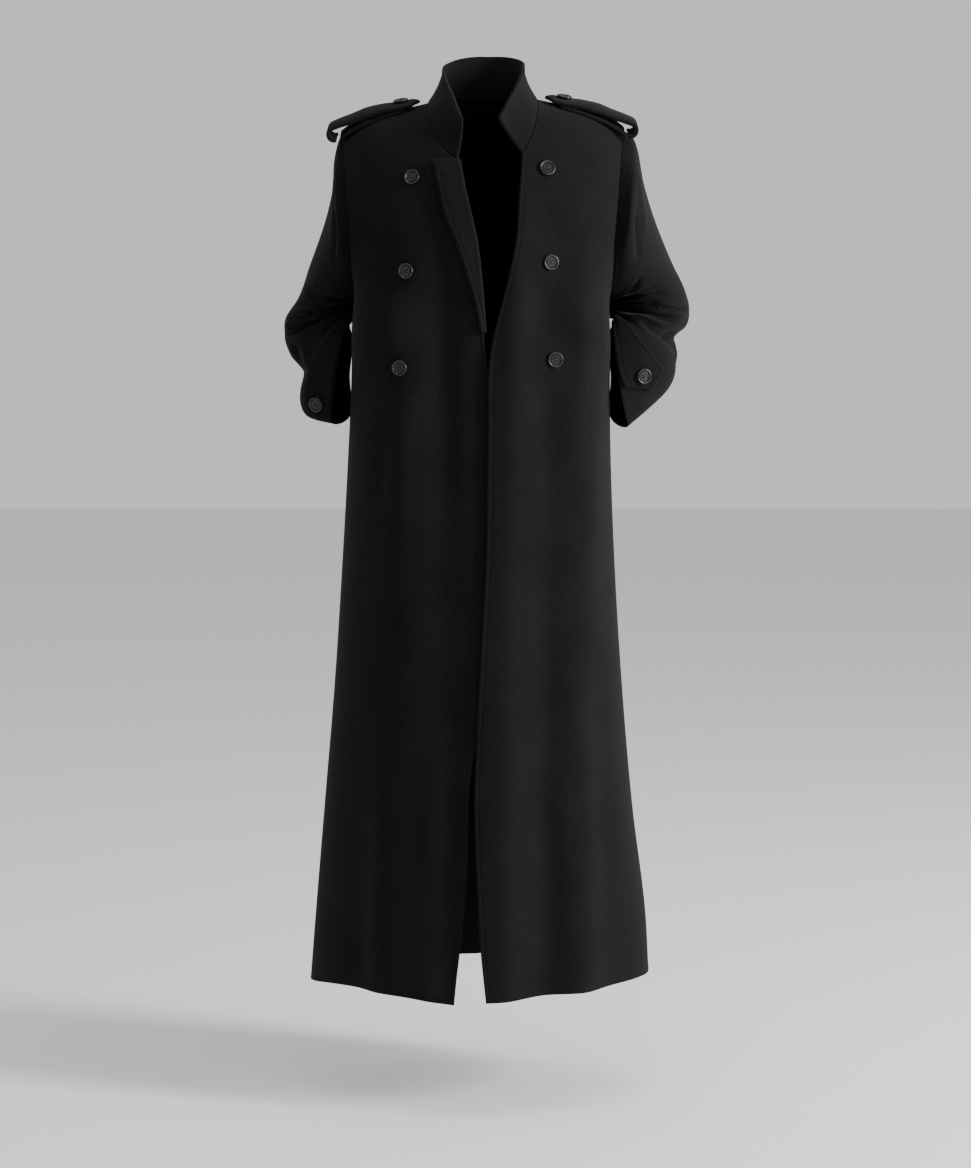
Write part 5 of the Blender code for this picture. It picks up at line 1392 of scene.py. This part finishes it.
def build_buttons(horn, thread):
    """Set a finer button where each plain one sits."""
    plain = [item for item in bpy.data.objects if item.name.startswith("button_") and item.type == "MESH"]
    mesh = button_mesh(horn, thread)
    for number, item in enumerate(sorted(plain, key=lambda one: one.name)):
        corners = np.array([item.matrix_world @ vertex.co for vertex in item.data.vertices])
        middle = (corners.max(axis=0) + corners.min(axis=0)) / 2
        axis = np.linalg.svd(corners - corners.mean(axis=0))[2][-1]
        on_top = item.name.startswith("button_strap")
        outward = np.array([0.0, 0.0, 1.0] if on_top else [0.0, -1.0, 0.0])
        if axis @ outward < 0.0:
            axis = -axis
        low = ((corners - middle) @ axis).min()
        made = add_object(item.name + "_horn", mesh.copy())
        spin = math.radians(BUTTON_SPINS[number % len(BUTTON_SPINS)])
        turn = Vector(axis).to_track_quat("Z", "Y").to_matrix().to_4x4()
        place = Vector(middle + axis * (low + BUTTON_GAP))
        made.data.transform(Matrix.Translation(place) @ turn @ Matrix.Rotation(spin, 4, "Z"))
        dress(made, [item.name])


def reading(table):
    """Heights and places of a table's rows, the lowest first."""
    rows = sorted((point[0], point[1]) for point in table)
    return [row[0] for row in rows], [row[1] for row in rows]


def build_buttonhole(cloth):
    """Worked buttonhole near the top of the turned-out lapel."""
    point_of = front_of(-1)
    x = np.linspace(HOLE_X - HOLE_LENGTH / 2, HOLE_X + HOLE_LENGTH / 2, 25)
    z = np.full_like(x, HOLE_Z)
    base = point_of(x, z)
    normal = surface_normal(point_of, x, z)
    share = (np.interp(HOLE_Z, *reading(RIGHT_EDGE)) - x) / LAPEL[0].width
    lift = (LAPEL_CLEARANCE + LAPEL_LIFT * smoothstep(share / 0.9) + DOUBLED + HOLE_LIFT)[:, None]
    middle = base + normal * lift
    up = np.array([0.0, 0.0, 1.0])
    work = bmesh.new()
    loop = np.concatenate([middle + up * HOLE_HALF, (middle - up * HOLE_HALF)[::-1]])
    loop = np.concatenate([loop, loop[:1]])
    ahead = unit(np.gradient(loop, axis=0))
    facing = normal[len(x) // 2]
    rings = [tube_ring(work, place, HOLE_STITCH, unit(np.cross(way, facing)), facing)
             for place, way in zip(loop[:-1], ahead[:-1])]
    join_rings(work, rings + rings[:1])
    bmesh.ops.recalc_face_normals(work, faces=work.faces)
    mesh = bpy.data.meshes.new("lapel_buttonhole")
    work.to_mesh(mesh)
    work.free()
    mesh.shade_smooth()
    mesh.materials.append(cloth)
    item = add_object("lapel_buttonhole", mesh)
    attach(item, "root")


# Stage, camera and light


def build_stage():
    mesh = bpy.data.meshes.new("floor")
    far = FLOOR_HALF
    mesh.from_pydata([(-far, -far, FLOOR_HEIGHT), (far, -far, FLOOR_HEIGHT), (far, far, FLOOR_HEIGHT),
                      (-far, far, FLOOR_HEIGHT)], [], [(0, 1, 2, 3)])
    floor = add_object("floor", mesh)
    pale = new_material("pale_floor", {"Base Color": (0.80, 0.80, 0.80, 1.0), "Roughness": 0.9})[0]
    mesh.materials.append(pale)
    world = bpy.data.worlds.new("studio")
    world.use_nodes = True
    background = world.node_tree.nodes["Background"]
    background.inputs["Color"].default_value = (1.0, 1.0, 1.0, 1.0)
    background.inputs["Strength"].default_value = 0.72
    bpy.context.scene.world = world


def build_camera():
    data = bpy.data.cameras.new("camera")
    data.sensor_fit = "VERTICAL"
    data.angle = 2 * math.atan(PHOTO_HEIGHT / 2 / FOCAL_PIXELS)
    data.clip_end = 60.0
    camera = add_object("camera", data)
    camera.location = CAMERA_PLACE
    camera.rotation_euler = (math.radians(90.0 - CAMERA_PITCH), 0.0, 0.0)
    bpy.context.scene.camera = camera


def area_light(name, place, aim, size, power):
    data = bpy.data.lights.new(name, "AREA")
    data.shape = "RECTANGLE"
    data.size, data.size_y = size
    data.energy = power
    item = add_object(name, data)
    item.location = place
    item.rotation_euler = (Vector(aim) - Vector(place)).to_track_quat("-Z", "Y").to_euler()


def build_lights():
    area_light("key", (4.0, -1.7, 0.7), (0.0, 0.0, -0.6), (1.0, 2.4), 400.0)
    area_light("top", (0.6, -0.7, 3.2), (0.0, 0.0, -0.5), (1.8, 1.8), 46.0)
    area_light("fill", (-3.2, -3.6, 0.6), (0.0, 0.0, -0.7), (2.4, 2.6), 3.0)


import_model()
cloth = melton_material()
horn = horn_material()
sleeves = build_body(cloth)
build_lapel(cloth)
for name, side in (("left", 1), ("right", -1)):
    build_shoulder_strap(name, side, cloth)
build_cuff_strap("left", sleeves[1], LEFT_CUFF_STRAP, cloth)
build_cuff_strap("right", sleeves[-1], RIGHT_CUFF_STRAP, cloth)
build_buttons(horn, thread_material())
build_buttonhole(cloth)
build_stage()
build_camera()
build_lights()
